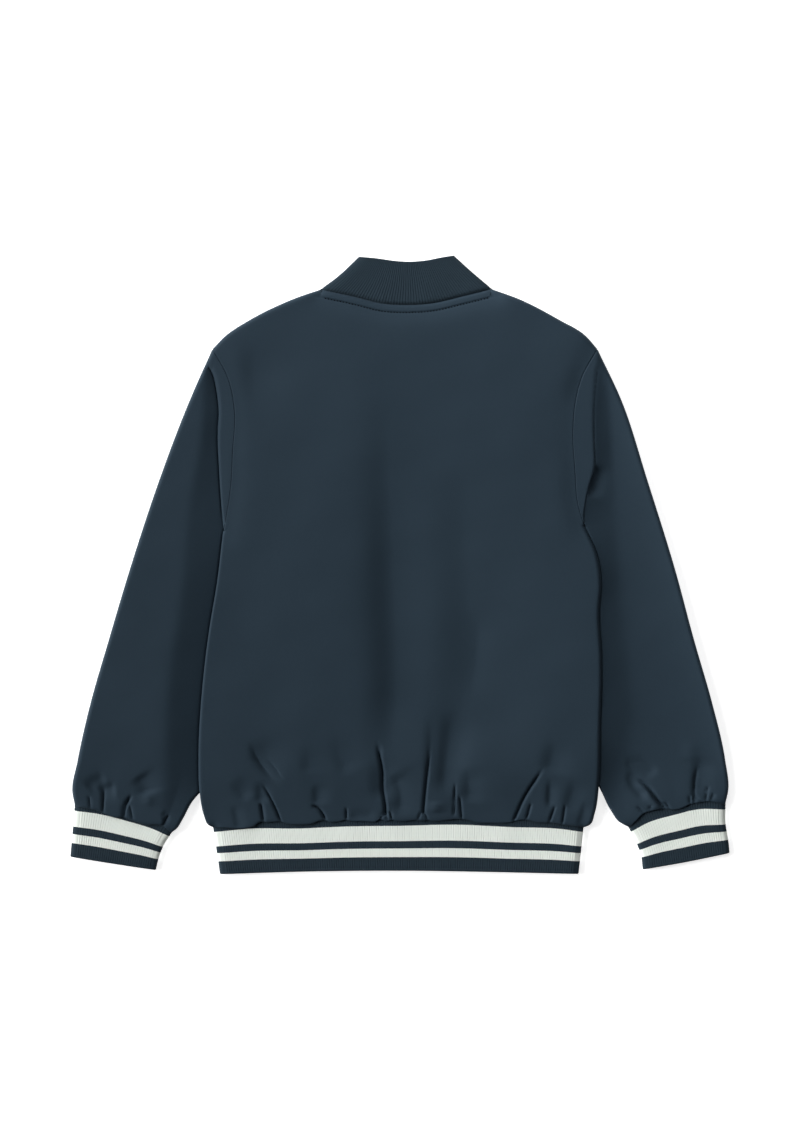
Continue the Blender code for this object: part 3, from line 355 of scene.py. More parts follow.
backFolds = [
    # Long soft valleys from the shoulder blades to the hem
    soft([(-12, 215), (-10, 90), (-5, -30), (-3, -130), (-10, -200)], 6, 55, 21, fadeIn=0.6, fadeOut=0.18),
    soft([(66, 150), (64, 20), (68, -60), (62, -130), (52, -205)], 5.8, 60, 27, fadeIn=0.6, fadeOut=0.18),
    soft([(71, -40), (73, -65), (70, -95), (64, -140)], 1.4, 10, power=1.6, fadeIn=0.3, fadeOut=0.4),
    soft([(29, -140), (29, -175), (26.5, -205)], 1.5, 12, 5),
    soft([(-135, 228), (-139, 180), (-137, 135)], 1.6, 30, 12, fadeOut=0.5),
    soft([(170, 194), (170, 170), (169, 144)], 1.2, 8, 12, fadeOut=0.4),
    # Gathers above the hem band, from the left. Each falls softly to its line and rises gently beyond
    soft([(-160, -203), (-153, -213), (-144, -225)], 1.3, 10, 5, fadeOut=0.4),
    soft([(-159, -226), (-154.5, -247)], 0.9, 6, 3, fadeOut=0),
    soft([(-143.5, -168), (-135, -183), (-124, -198), (-112, -210)], 2.8, 20, 5, power=1.5, fadeIn=0.35,
         fadeOut=0.6),
    crisp([(-144, -169), (-137, -183), (-125, -199), (-117, -208)], 1.2, 3.4, left=1.2, fadeOut=0.45),
    crisp([(-129, -182), (-119, -193), (-110.5, -206)], 0.8, 3.4, left=1.2, fadeIn=0.4, fadeOut=0.5),
    soft([(-134, -203), (-132.5, -228)], 1.6, 8, 4),
    crisp([(-132, -205.5), (-120.5, -227.4), (-112.5, -246)], 2.6, 2.2),
    crisp([(-133, -225), (-130, -246)], 2.6, 2.2, left=1.4, fadeIn=0.2),
    soft([(-80, -206), (-79, -229)], 1.4, 8, 4),
    crisp([(-86, -228), (-77.7, -230.9), (-73.7, -236.7), (-70.5, -246)], 3, 2.6, left=1.5, fadeIn=0.25),
    soft([(-66, -160), (-57, -181), (-48, -200)], 1, 16, 7),
    soft([(-87, -170), (-88, -200)], 0.7, 14, 6),
    crisp([(-51.6, -229), (-51.6, -246)], 2, 1.8),
    soft([(-50, -238), (-23, -238)], 0.8, 5, fadeIn=0.3),
    crisp([(-22.5, -172), (-18.7, -187), (-17.2, -197.4), (-17, -212.4), (-14.6, -227.4), (-14, -240)], 3.6,
          2.6, left=1.3, fadeIn=0.15, fadeOut=0.08),
    soft([(-18, -180), (-17.5, -205), (-16.5, -226)], 2.2, 12, 9),
    crisp([(-15, -231), (-20.3, -244)], 1.5, 1.3),
    crisp([(-14, -233), (-12.8, -244)], 1.5, 1.2),
    crisp([(-11, -232), (-7.8, -244)], 1.8, 1.3),
    soft([(-8.5, -198), (-1.5, -210), (0, -224), (-3, -240)], 2.2, 12, 6.2, power=1.5, fadeIn=0.25),
    crisp([(28.8, -170), (25.2, -198.6), (23, -220), (21.6, -238)], 3, 2.4, fadeIn=0.4, fadeOut=0.05),
    crisp([(20, -233), (15.3, -244)], 1.5, 1.3),
    crisp([(22.2, -233), (26.3, -244)], 1.5, 1.3),
    soft([(56, -135), (48, -164), (44, -188), (42, -222)], 4, 17, 8.5, fadeIn=0.35),
    soft([(33.2, -223), (33.2, -236.5)], -1.4, 7, fadeIn=0.4, fadeOut=0.4),
    soft([(63, -190), (65, -209), (64, -228)], 2.2, 14, 6.5, power=1.7, fadeIn=0.45),
    crisp([(51.5, -205), (50.8, -239)], 2.2, 1.6, fadeOut=0.1),
    crisp([(55.6, -216), (58.2, -244)], 2.2, 1.8),
    soft([(149, -165), (145, -180), (140, -200)], 2, 15, 8),
    crisp([(137, -190), (132.4, -197.5), (118.3, -219.3), (107.5, -243)], 2.6, 2.2, left=1.3),
    soft([(141.2, -200), (140.2, -233)], 1.8, 6, 2.2, power=1.5),
    crisp([(124.5, -224), (119, -243)], 1.8, 2),
    crisp([(147.5, -227), (141, -245)], 1.8, 2.2),
    soft([(167, -200), (163, -218), (157.5, -238)], 1.6, 12, 6),
    crisp([(156.5, -226), (153.5, -246)], 1.8, 1.8),
    soft([(177, -222), (170, -247)], 1.1, 6, 3, fadeOut=0),
]
frontFolds = [
    soft([(-60, 150), (-66, -20), (-60, -170)], 0.7, 14, fadeIn=0.4, fadeOut=0.2),
    soft([(70, 130), (64, -40), (72, -180)], 0.7, 15, fadeIn=0.4, fadeOut=0.2),
    crisp([(-152, -196), (-140, -222), (-135, -246)], 1, 3),
    crisp([(-104, -206), (-108, -246)], 1.1, 3),
    crisp([(-71, -222), (-74, -246)], 0.9, 2.5),
    crisp([(-46, -200), (-40, -245)], 1.1, 3),
    crisp([(-18, -225), (-21, -245)], 0.8, 2.5),
    crisp([(26, -212), (30, -244)], 1, 2.5),
    crisp([(58, -195), (52, -244)], 1.1, 3.5),
    crisp([(89, -218), (92, -245)], 1, 2.5),
    crisp([(128, -198), (118, -246)], 1.1, 3.5),
    crisp([(152, -216), (147, -247)], 0.9, 2.5),
]


def bodyTop(points):
    # Level with swells, drawn down at the armholes and the neck, and rolled down at the hem
    base = cloth["bodyTop"] + swelled(points, cloth["bodySwells"])
    base = pulled(base, gapTo(points, armholes), cloth["armholeTop"])
    base = pulled(base, gapTo(points, [neckLine]), cloth["neckTop"])
    return rolled(base, points, edgeLine)


# The raised strip under the collar, between the neck seam and its row of stitches. middle and spread are
# shares of its width
neckStrip = {"width": 0.0074, "stitchDepth": 0.0007, "stitchWidth": 0.0008, "swell": 0.0006,
             "middle": 0.45, "spread": 0.4, "seamDepth": 0.0016, "seamWidth": 0.0011}


def neckRelief(points):
    # A low swell with a groove for the stitches below it and the seam's groove above, each depth *
    # exp(-(distance / width) ^ 2)
    gap = gapTo(points, [neckLong])
    form = neckStrip
    total = form["swell"] * np.exp(-((gap / form["width"] - form["middle"]) / form["spread"]) ** 2)
    total = total - form["stitchDepth"] * np.exp(-((gap - form["width"]) / form["stitchWidth"]) ** 2)
    return total - form["seamDepth"] * np.exp(-(gap / form["seamWidth"]) ** 2)


def fadedAt(total, points, edge):
    # Gathers keep part of their depth where they are caught in the seam
    free = smooth(gapTo(points, [edge]) / cloth["caughtReach"])
    return total * (cloth["caught"] + (1 - cloth["caught"]) * free)


def backRelief(points):
    # The back's folds with the strip under the collar
    return fadedAt(reliefOf(points, backFolds), points, edgeLine) + neckRelief(points)


def frontRelief(points):
    # The lower layer lies on the table, so its troughs go up from it
    return -fadedAt(reliefOf(points, frontFolds), points, hemLine)


# Sleeves: level on the far side of the bend, from which they fall towards the body (fall over 0) or rise to
# it (under 0), a raised strip along the armhole, and gathers above the cuff. Pairs are for the top and the
# end, and stripEdge is the crease down the strip's edge: its depth and the widths to its right and left
sleeveShapes = {
    "left": {
        "bend": [(-185, 189), (-186.8, 156.4), (-189.1, 118.4), (-194.5, 89.9), (-199.5, 61.4),
                 (-203, 32.9), (-204.5, 4.4), (-208.1, -33.6), (-212.8, -62.1), (-217.4, -90.6),
                 (-221, -128.6), (-222.5, -166.6), (-223, -204.6), (-225, -230)],
        "strip": [(-185, 189.3), (-180, 184.2), (-176.8, 174), (-173.8, 156.4), (-172.8, 145),
                  (-173.7, 130), (-173.8, 115), (-173, 99.4), (-172, 80.4), (-170.2, 55.7), (-168.2, 32)],
        "level": (12.2, 12.4), "fall": (4.5, 8.4), "round": (1.8, 2.8), "crown": 0.4,
        "stripTop": (10.4, 8.4), "stripEdge": (1.4, 1.8, 0.4),
        "edge": [(-309, -228.5), (-298.8, -230.6), (-286, -233.6), (-271.8, -239.6), (-263.2, -239.4),
                 (-253.5, -242.7), (-242.8, -246), (-226.5, -247.6), (-219, -254)],
        "folds": [
            soft([(-299, -214), (-289, -206), (-279, -202)], 1.8, 6, 11, fadeIn=0.3),
            soft([(-288, -215), (-278.4, -212), (-270, -211)], 2.2, 4, 9, fadeIn=0.3),
            crisp([(-281.9, -211), (-282.9, -236)], 2.2, 2),
            crisp([(-296, -217), (-294.8, -232)], 1.1, 1.8),
            soft([(-250, -199), (-243, -210), (-240, -220)], 2.2, 12, 7, fadeIn=0.3),
            crisp([(-254.5, -217), (-260.5, -227.3), (-263.4, -241)], 2.8, 2.6, left=1.3),
            crisp([(-257.9, -225), (-254.2, -243)], 1.3, 1.8),
            soft([(-239, -215), (-240.5, -230)], -0.8, 5),
            crisp([(-219.5, -236), (-226.5, -248)], 1.8, 1.6),
        ],
    },
    "right": {
        "bend": [(194.7, 190.6), (196.2, 171.6), (198.1, 152.6), (200, 120.3), (200.9, 89.9), (203.3, 51.9),
                 (206.1, 11), (207.2, -21.3), (209.9, -47.9), (212.7, -71.6), (217.2, -104.9),
                 (219.2, -128.6), (219, -147.6), (215, -168.5), (210.5, -185), (208.5, -207.5),
                 (209.9, -225)],
        "strip": [(187.1, 190.6), (185.2, 171.6), (184, 156.4), (183.7, 118.4), (184.3, 101.3), (183.5, 88),
                  (179, 75.5), (176.3, 64), (174.2, 51.9), (173.9, 37)],
        "level": (2.6, 4), "fall": (-7.4, -5.6), "round": (0.9, 4), "crown": 6.4,
        "stripTop": (10.9, 10.7), "stripEdge": (0.3, 1, 0.6),
        "edge": [(307.5, -227.5), (294.5, -224.7), (282.8, -225.8), (273.7, -227.7), (267.3, -230.9),
                 (260.7, -232.5), (253, -231.8), (245.2, -232), (237.4, -233.8), (231, -235.8),
                 (224, -242.5), (217.6, -249)],
        "folds": [
            soft([(185.8, 97), (184.6, 87), (181.2, 76), (178.6, 63)], 3.6, 9, 1.6, fadeIn=0.3, grip=0.6),
            soft([(212, -191), (225.8, -189), (236.1, -193.5), (244, -200)], 2.2, 4, 9, fadeIn=0.25),
            soft([(218.5, -195), (220.5, -208.9), (226.2, -215.5), (233.5, -224)], 2.2, 6, 3.6, fadeIn=0.25),
            crisp([(223.5, -203), (233.6, -210.2), (241.3, -220.6), (253, -234.5)], 3.6, 2.4, left=2.2,
                  fadeIn=0.2),
            soft([(221, -205.2), (231, -212.6), (238.8, -223), (250, -236.8)], -2, 2.4, 4.2, fadeIn=0.25,
                 fadeOut=0.2),
            crisp([(250.5, -224), (256.5, -233.5)], 1.9, 1.5),
            crisp([(223.5, -228), (233, -237)], 1.7, 1.5),
            crisp([(236.6, -227), (237.6, -235)], 1.3, 1.3),
            soft([(274.5, -164), (275.5, -188)], -0.8, 7),
            soft([(286, -180), (283, -200), (282, -224)], 2, 12, 5, fadeIn=0.3),
            crisp([(282.5, -190), (279.5, -206.3), (278.9, -227)], 2, 2.2, fadeIn=0.3),
            crisp([(274.2, -217), (275, -229)], 1.4, 1.4),
            crisp([(287, -214), (285.8, -227)], 1.6, 1.5),
            crisp([(292.5, -208), (289.5, -226)], 1.4, 2.2),
            crisp([(297.5, -215), (294, -226)], 1.2, 1.6),
        ],
    },
}
for side in sides:
    shape = sleeveShapes[side.name]
    depth, width, left = shape["stripEdge"]
    shape["folds"].append(crisp(shape["strip"], depth, width, fadeIn=0.04, fadeOut=0.30, left=left))
    for key, spacing in (("bend", 0.006), ("strip", 0.006), ("edge", 0.0012)):
        setattr(side, key + "Line", curve(shape[key], spacing))
# Shares and widths for all sleeves; settled is how far down the bend the end's values are reached
sleeveForm = {"settled": 0.65, "crownReach": 0.024, "stripStart": 0.0002, "stripRise": 0.0012}


def sleeveTop(side):
    # Level, plus a crown towards the outer edge, less the fall times the share of the way from the bend to
    # the strip or the body's side, rounded at the bend
    shape, form = sleeveShapes[side.name], sleeveForm

    def between(key, part):
        first, last = shape[key]
        return (first + (last - first) * part) / 1000

    def top(points):
        place, _, offset = beside(points, side.bendLine)[:3]
        lower = smooth(place / form["settled"])
        level, fall, bend = (between(key, lower) for key in ("level", "fall", "round"))
        past = bend * np.logaddexp(0, -offset * side.sign / bend)
        fallen = past / (past + gapTo(points, [side.stripLine, side.side]) + 1e-6)
        crown = shape["crown"] / 1000 * np.exp(-gapTo(points, [side.sleeve]) / form["crownReach"])
        base = level + swelled(points, cloth["sleeveSwells"]) + crown * (1 - fallen) - fall * fallen
        place, _, offset = beside(points, side.stripLine)[:3]
        strip = smooth((-offset * side.sign - form["stripStart"]) / form["stripRise"]) * (place < 0.999)
        raised = pulled(between("stripTop", place ** 2), gapTo(points, [side.armhole]), cloth["armholeTop"])
        return rolled(base + (raised - base) * strip, points, side.edgeLine)
    return top


# Grids of plan points, heights and walls

def fill(top, bottom, left, right):
    # Plan points between four edges: each pair blended across the other, less the blend of the corners
    downLeft, downRight = (distances(edge)[:, None] / lengthOf(edge) for edge in (left, right))
    down = (downLeft + downRight) / 2
    across = (1 - down) * distances(top) / lengthOf(top) + down * distances(bottom) / lengthOf(bottom)
    down = ((1 - across) * downLeft + across * downRight)[..., None]
    across = across[..., None]
    corners = ((1 - across) * ((1 - down) * top[0] + down * bottom[0])
               + across * ((1 - down) * top[-1] + down * bottom[-1]))
    return ((1 - down) * top + down * bottom + (1 - across) * left[:, None] + across * right[:, None]
            - corners)


def lifted(plan, top, low, layer, relief=None):
    # Middle points of a wall on the upper layer (1) or the lower one (-1) of each column. Near a folded
    # edge the height follows a quarter ellipse, and the relief dies away there
    flat = plan.reshape(-1, 2)
    shape = plan.shape[:2]
    middle = ((top(flat) + low) / 2).reshape(shape)
    gap = np.min([beside(flat, line)[1] / part for line, part in foldLines], axis=0).reshape(shape)
    reach = np.where(layer < 0, cloth["lowFoldReach"], cloth["foldReach"])
    bulge = np.sqrt(1 - (1 - np.clip(gap / reach, 0, 1)) ** 2)
    base = np.concatenate([plan, (middle + layer * (middle - low) * bulge)[..., None]], axis=2)
    if relief is None:
        return base, np.zeros(shape)
    extra = relief(flat).reshape(shape) * smooth(gap / cloth["foldReach"])
    # A trough in the upper layer stops short of the lower one: extra / (1 + (extra / room) ^ 4) ^ (1 / 4)
    room = np.maximum(base[..., 2] - low - cloth["wall"] - cloth["spare"], cloth["spare"])
    held = extra / (1 + (extra / room) ** 4) ** 0.25
    return base, np.where((extra < 0) & (layer > 0), held, extra)


def wallNormals(grid, closed):
    # Cross product of the ways down and along a grid, at length 1
    wide = np.concatenate([grid[:, -1:], grid, grid[:, :1]], axis=1) if closed else grid
    along = wide[:, 2:] - wide[:, :-2] if closed else np.gradient(grid, axis=1)
    normal = np.cross(np.gradient(grid, axis=0), along)
    return normal / np.maximum(np.linalg.norm(normal, axis=2), 1e-12)[..., None]


def edgeDistance(grid, closed):
    # Way over the surface from each point to the nearest free edge
    down = np.cumsum(np.linalg.norm(np.diff(grid, axis=0, prepend=grid[:1]), axis=2), axis=0)
    nearest = np.minimum(down, down[-1] - down)
    if not closed:
        over = np.cumsum(np.linalg.norm(np.diff(grid, axis=1, prepend=grid[:, :1]), axis=2), axis=1)
        nearest = np.minimum(nearest, np.minimum(over, over[:, -1:] - over))
    return nearest


def shell(name, base, extra, layer, wall, rim, closed=False, swell=0, uv=None):
    # A closed wall about a grid of middle points: half the wall each way along the normals, rounded off
    # to nothing at its edges. swell thickens it, and extra is added upright after that
    normal = wallNormals(base, closed)
    turned = 1 if (normal[..., 2] * layer).sum() > 0 else -1
    fromEdge = edgeDistance(base, closed)
    half = wall / 2 * np.sqrt(1 - (1 - np.clip(fromEdge / rim, 0, 1)) ** 2) + swell * smooth(fromEdge / rim)
    out = turned * normal * half[..., None]
    lift = np.stack([0 * extra, 0 * extra, extra], axis=2)
    points = np.concatenate([base + out + lift, base - out + lift]).reshape(-1, 3)
    outer = np.arange(extra.size).reshape(extra.shape)
    inner = outer + extra.size
    inner[[0, -1]] = outer[[0, -1]]
    if closed:
        outer, inner = (np.concatenate([index, index[:, :1]], axis=1) for index in (outer, inner))
    else:
        inner[:, [0, -1]] = outer[:, [0, -1]]

    def quads(index, way):
        corners = [index[:-1, :-1], index[1:, :-1], index[1:, 1:], index[:-1, 1:]]
        return np.stack(corners[::way], axis=2).reshape(-1, 4)
    faces = np.concatenate([quads(outer, turned), quads(inner, -turned)])
    used, faces = np.unique(faces, return_inverse=True)
    faces = faces.reshape(-1, 4)
    mesh = meshOf(name, points[used], faces)
    if uv is not None:
        flatUv = np.concatenate([uv.reshape(-1, 2)] * 2)[used]
        layerUv = mesh.uv_layers.new(name="cloth")
        layerUv.data.foreach_set("uv", flatUv[faces.ravel()].astype(np.float32).ravel())
    return mesh


def meshOf(name, points, faces):
    # A smooth mesh of points and faces of one kind
    mesh = bpy.data.meshes.new(name)
    mesh.vertices.add(len(points))
    mesh.vertices.foreach_set("co", points.astype(np.float32).ravel())
    mesh.loops.add(faces.size)
    mesh.loops.foreach_set("vertex_index", faces.astype(np.int32).ravel())
    mesh.polygons.add(len(faces))
    mesh.polygons.foreach_set("loop_start", np.arange(0, faces.size, faces.shape[1], dtype=np.int32))
    mesh.update(calc_edges=True)
    mesh.validate()
    mesh.shade_smooth()
    return mesh


def piece(mesh, finish, nodes, body="jacket"):
    # A finished piece that rides on a body and stands for the frame's nodes
    made = bpy.data.objects.new(mesh.name, mesh)
    bpy.context.scene.collection.objects.link(made)
    mesh.materials.append(finish)
    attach(made, body)
    if nodes:
        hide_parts(*nodes)
    area = np.zeros(len(mesh.polygons))
    mesh.polygons.foreach_get("area", area)
    print(mesh.name, len(mesh.polygons), "faces,", round(area.sum() / 2, 4), "square metres a side")
    return made


# Materials

def setInputs(tree, node, inputs):
    # Each input takes a value, or a link from an output
    for key, value in inputs.items():
        if hasattr(value, "is_output"):
            tree.links.new(value, node.inputs[key])
        else:
            node.inputs[key].default_value = value


def add(tree, kind, inputs, **settings):
    node = tree.nodes.new(kind)
    for key, value in settings.items():
        setattr(node, key, value)
    setInputs(tree, node, inputs)
    return node


def mathNode(tree, operation, *values):
    return add(tree, "ShaderNodeMath", dict(enumerate(values)), operation=operation).outputs[0]


def wave(tree, operation, along, length):
    # Sine or cosine with one turn to each length
    return mathNode(tree, operation, mathNode(tree, "MULTIPLY", along, 2 * math.pi / length))


def mixed(tree, factor, tones):
    return add(tree, "ShaderNodeMix", {0: factor, 6: tones[0], 7: tones[1]}, data_type="RGBA").outputs[2]


def noise(tree, place, scale, detail=2.0):
    return add(tree, "ShaderNodeTexNoise", {"Vector": place, "Scale": scale, "Detail": detail}).outputs[0]


def axesOf(tree, vector):
    return add(tree, "ShaderNodeSeparateXYZ", {0: vector}).outputs


def begun(name):
    # A new material, its nodes and the places on its object
    made = bpy.data.materials.new(name)
    made.use_nodes = True
    return made, made.node_tree, add(made.node_tree, "ShaderNodeTexCoord", {}).outputs["Object"]


def dressed(made, inputs, bump=None):
    # The shader's inputs set, with a bump given as its height, strength and distance
    tree = made.node_tree
    if bump:
        relief = add(tree, "ShaderNodeBump", dict(zip(("Height", "Strength", "Distance"), bump)))
        inputs = {**inputs, "Normal": relief.outputs[0]}
    setInputs(tree, tree.nodes["Principled BSDF"], inputs)
    return made


# Noises are a scale and a detail, bumps a strength and a distance, and tones a dark and a light colour
clothFinish = {
    "tones": ((0.0114, 0.0254, 0.0400, 1), (0.0154, 0.0314, 0.0480, 1)), "tone": (22, 4), "toneShare": 0.6,
    "speck": (420, 3), "speckShare": 0.4, "thread": 0.0007, "slub": (900, 2), "slubShare": 1.6,
    "roughness": (0.12, 0.76), "bump": (0.25, 0.00006),
    "shader": {"Sheen Weight": 0.07, "Sheen Roughness": 0.45, "Sheen Tint": (0.45, 0.62, 0.78, 1),
               "Specular IOR Level": 0.25},
}


def clothMaterial():
    # Dark navy twill: a fine bump of crossed threads, sin x * sin y with noise, and a slow uneven tone
    finish = clothFinish
    made, tree, place = begun("navyCloth")
    axes = axesOf(tree, place)
    warp, weft = (wave(tree, "SINE", axes[axis], finish["thread"]) for axis in (0, 1))
    slub, tone, speck = (noise(tree, place, *finish[key]) for key in ("slub", "tone", "speck"))
    grain = mathNode(tree, "MULTIPLY_ADD", slub, finish["slubShare"], mathNode(tree, "MULTIPLY", warp, weft))
    slow = mathNode(tree, "MULTIPLY", tone, finish["toneShare"])
    factor = mathNode(tree, "MULTIPLY_ADD", speck, finish["speckShare"], slow)
    roughness = mathNode(tree, "MULTIPLY_ADD", slub, *finish["roughness"])
    inputs = {"Base Color": mixed(tree, factor, finish["tones"]), "Roughness": roughness}
    return dressed(made, {**inputs, **finish["shader"]}, (grain, *finish["bump"]))


ribFinish = {
    "navy": ((0.0158, 0.0302, 0.0432, 1), (0.0098, 0.0198, 0.0298, 1)),  # lit on a rib, and painted shade between two
    "white": ((0.850, 0.900, 0.845, 1), (0.745, 0.795, 0.742, 1)), "valleyShade": 2.5, "rows": 40,
    "fuzz": (1400, 2), "fuzzShare": 0.9, "rowShare": 0.35, "wobble": 0.010, "bump": (0.5, 0.00012),
    "stripes": [(0.00, 0), (0.105, 1), (0.410, 0), (0.552, 1), (0.725, 0)],  # share down it, white or not
    "shader": {"Roughness": 0.9, "Sheen Weight": 0.06, "Sheen Roughness": 0.5, "Specular IOR Level": 0.2},
}


def ribMaterial(name, striped):
    # Rib knit with two columns of loops to a rib. UV x runs round it in metres, and y down it as a share
    finish = ribFinish
    made, tree, place = begun(name)
    axes = axesOf(tree, add(tree, "ShaderNodeUVMap", {}, uv_map="cloth").outputs[0])
    between = mathNode(tree, "MULTIPLY_ADD", wave(tree, "COSINE", axes[0], rib["pitch"] / 2), -0.5, 0.5)
    # valleyShade is painted shade: it darkens the yarn's colour in the grooves between the columns of loops
    valleyShade = mathNode(tree, "POWER", between, finish["valleyShade"])
    fuzz = noise(tree, place, *finish["fuzz"])
    rows = mathNode(tree, "MULTIPLY", wave(tree, "SINE", axes[1], 1 / finish["rows"]), finish["rowShare"])
    height = mathNode(tree, "MULTIPLY_ADD", fuzz, finish["fuzzShare"], rows)
    colour = mixed(tree, valleyShade, finish["navy"])
    if striped:
        wobble = mathNode(tree, "MULTIPLY_ADD", fuzz, finish["wobble"], -finish["wobble"] / 2)
        ramp = add(tree, "ShaderNodeValToRGB", {0: mathNode(tree, "ADD", axes[1], wobble)})
        ramp.color_ramp.interpolation = "CONSTANT"
        stops = ramp.color_ramp.elements
        for index, (position, isWhite) in enumerate(finish["stripes"]):
            stop = stops.new(position) if index else stops[0]
            stop.position = position
            stop.color = (isWhite,) * 3 + (1,)
        stops.remove(stops[-1])
        # The white stripes take the same painted shade in their grooves
        colour = mixed(tree, ramp.outputs[0], (colour, mixed(tree, valleyShade, finish["white"])))
    return dressed(made, {"Base Color": colour, **finish["shader"]}, (height, *finish["bump"]))


plainFinishes = {
    "zipTape": {"tones": ((0.013, 0.020, 0.030, 1), (0.022, 0.033, 0.046, 1)), "noise": (300,),
                "weave": (0.0012, 0.0008), "bump": (0.6, 0.0001), "shader": {"Roughness": 0.8}},
    "zipMetal": {"tones": ((0.20, 0.21, 0.23, 1), (0.42, 0.43, 0.45, 1)), "noise": (260, 5),
                 "wear": (0.25, 0.22), "shader": {"Metallic": 1.0}},
    # The thread is near black, far darker than the cloth: the stitches are real, but their darkness is
    # painted shade for the hollows they sit in
    "thread": {"tones": ((0.0010, 0.0022, 0.0036, 1), (0.0030, 0.0056, 0.0082, 1)), "noise": (900,),
               "shader": {"Roughness": 0.9, "Specular IOR Level": 0.08}},
}


def plainMaterial(name):
    # Two tones mixed by a noise. Wear makes the roughness follow the noise, and a weave adds a bump,
    # sin x + sin y / 2
    finish, bump = plainFinishes[name], None
    made, tree, place = begun(name)
    grain = noise(tree, place, *finish["noise"])
    inputs = {"Base Color": mixed(tree, grain, finish["tones"]), **finish["shader"]}
    if "wear" in finish:
        inputs["Roughness"] = mathNode(tree, "MULTIPLY_ADD", grain, *finish["wear"])
    if "weave" in finish:
        across, along = (wave(tree, "SINE", *pair) for pair in zip(axesOf(tree, place), finish["weave"]))
        bump = (mathNode(tree, "MULTIPLY_ADD", along, 0.5, across), *finish["bump"])
    return dressed(made, inputs, bump)


navyCloth = clothMaterial()
navyRib = ribMaterial("navyRib", False)
stripedRib = ribMaterial("stripedRib", True)
zipTape, zipMetal, thread = (plainMaterial(name) for name in ("zipTape", "zipMetal", "thread"))


# Body

def rowsDown(start, total, gathers, high, low):
    # Rows from a start to a gathered seam: a count of wide steps, then one of narrow ones over the
    # gathers, then the rim
    return np.r_[np.linspace(start, total - gathers, high),
                 np.linspace(total - gathers, total - foldSteps[5], low)[1:], total - foldSteps[4::-1]]


def stepCounts(length, size):
    # How many wide steps and narrow ones a length takes
    return int((length - size["gathers"]) / size["stepHigh"]), int(size["gathers"] / size["stepLow"])


def sidePoints(side, size):
    # Down the side from the armpit to the hem seam
    total = lengthOf(side.side)
    rows = rowsDown(foldSteps[-1], total, size["gathers"], *stepCounts(total, size))
    return at(side.side, np.r_[foldSteps[1:-1], rows])


# Rows below the shoulder seam, with close ones at the row of stitches
neckRows = np.r_[foldSteps[:-1], 0.0062, 0.0067, 0.00705, 0.0074, 0.00775, 0.0081, 0.0086, 0.0095, 0.0110]


def armholePoints(side, spans):
    # Close together at the neck, even between, and close together at the armpit
    total = lengthOf(side.armhole)
    even = np.linspace(neckRows[-1], total - foldSteps[-1], spans)[1:-1]
    return at(side.armhole, np.r_[neckRows, even, total - foldSteps[::-1]])


def spaced(line, spans, tail=True):
    # Points of a line spaced by spread
    return at(line, spread(lengthOf(line), spans, tail))


def trimmed(edge, rows):
    # The same edge with a given count of points: those far from its ends are spread again
    run = distances(edge)
    return at(edge, np.interp(np.linspace(0, len(run) - 1, rows), np.arange(len(run)), run))


def clothPiece(name, node, plan, top, relief, layer, lowShare=0):
    # A cloth's wall as a piece. A tube's lower layer has its troughs fainter by lowShare, and they go up from
    # the table
    base, extra = lifted(plan, top, cloth["low"], layer, relief)
    if lowShare:
        extra = np.where(layer > 0, extra, np.where(layer < 0, lowShare * np.maximum(-extra, 0), 0))
    mesh = shell(name, base, extra, layer, cloth["wall"], cloth["rim"], closed=lowShare > 0)
    made = piece(mesh, navyCloth, [node])


def makeBack():
    # The top runs along one shoulder, the neck and the other shoulder
    size = {"columns": 252, "shoulder": 64, "armhole": 34, "gathers": 0.060, "stepHigh": 0.0052,
            "stepLow": 0.0012, "flat": (0.385, 0.515), "cut": 0.176}
    hem = spaced(edgeLine, size["columns"])
    left, right = (spaced(side.shoulder[::-1], size["shoulder"], tail=False) for side in sides)
    neckSpans = len(hem) + 2 - 2 * len(left) - 2 * len(foldSteps) + 1
    top = np.concatenate([left[:-1], spaced(neckLine, neckSpans), right[::-1][1:]])
    edges = [np.concatenate([armholePoints(side, size["armhole"]), sidePoints(side, size)]) for side in sides]
    rows = min(len(edge) for edge in edges)
    edges = [edge if len(edge) == rows else trimmed(edge, rows) for edge in edges]
    plan = drawnIn(fill(top, hem, *edges), backFolds, [edgeLine])
    clothPiece("back_panel", "back", plan, bodyTop, backRelief, 1)


def frontEdge(side):
    # x of a front's edge at the zip
    return pattern["zipX"] + shift[0] + side.sign * pattern["slot"] / 2


def hemPart(side, spacing):
    # Distances along the hem line from a side's fold to its front edge, spaced as spacing does a length
    run = distances(hemLine)
    meet = np.interp(frontEdge(side), hemLine[:, 0], run)
    return spacing(meet) if side.sign < 0 else run[-1] - spacing(run[-1] - meet)


def makeFront(side):
    # A grid between shoulder and neck, hem, the outer side and the straight edge at the zip
    size = {"columns": 84, "shoulder": 40, "armhole": 40, "gathers": 0.060, "stepHigh": 0.0055,
            "stepLow": 0.0022, "flat": (0.190, 0.500), "cut": 0.082}
    hem = at(hemLine, hemPart(side, lambda length: spread(length, size["columns"])))
    shoulder = spaced(side.shoulder[::-1], size["shoulder"], tail=False)
    neckSpans = len(hem) + 1 - len(shoulder) - 2 * len(foldSteps) + 1
    top = np.concatenate([shoulder[:-1], spaced(side.neckFront, neckSpans)])
    outer = np.concatenate([spaced(side.armholeFront, size["armhole"]), sidePoints(side, size)])
    down = (distances(outer) / lengthOf(outer))[:, None]
    plan = drawnIn(fill(top, hem, outer, (1 - down) * top[-1] + down * hem[-1]), frontFolds, [hemLine])
    clothPiece(f"front_panel_{side.name}", f"front_{side.name}", plan, bodyTop, frontRelief, -1)


def ring(upper, lower):
    # A tube's grid: the upper half, outer edge first, then the lower half back to it
    layer = np.r_[np.ones(upper.shape[1]), -np.ones(lower.shape[1] - 2)]
    layer[[0, upper.shape[1] - 1]] = 0
    return np.concatenate([upper, lower[:, -2:0:-1]], axis=1), layer


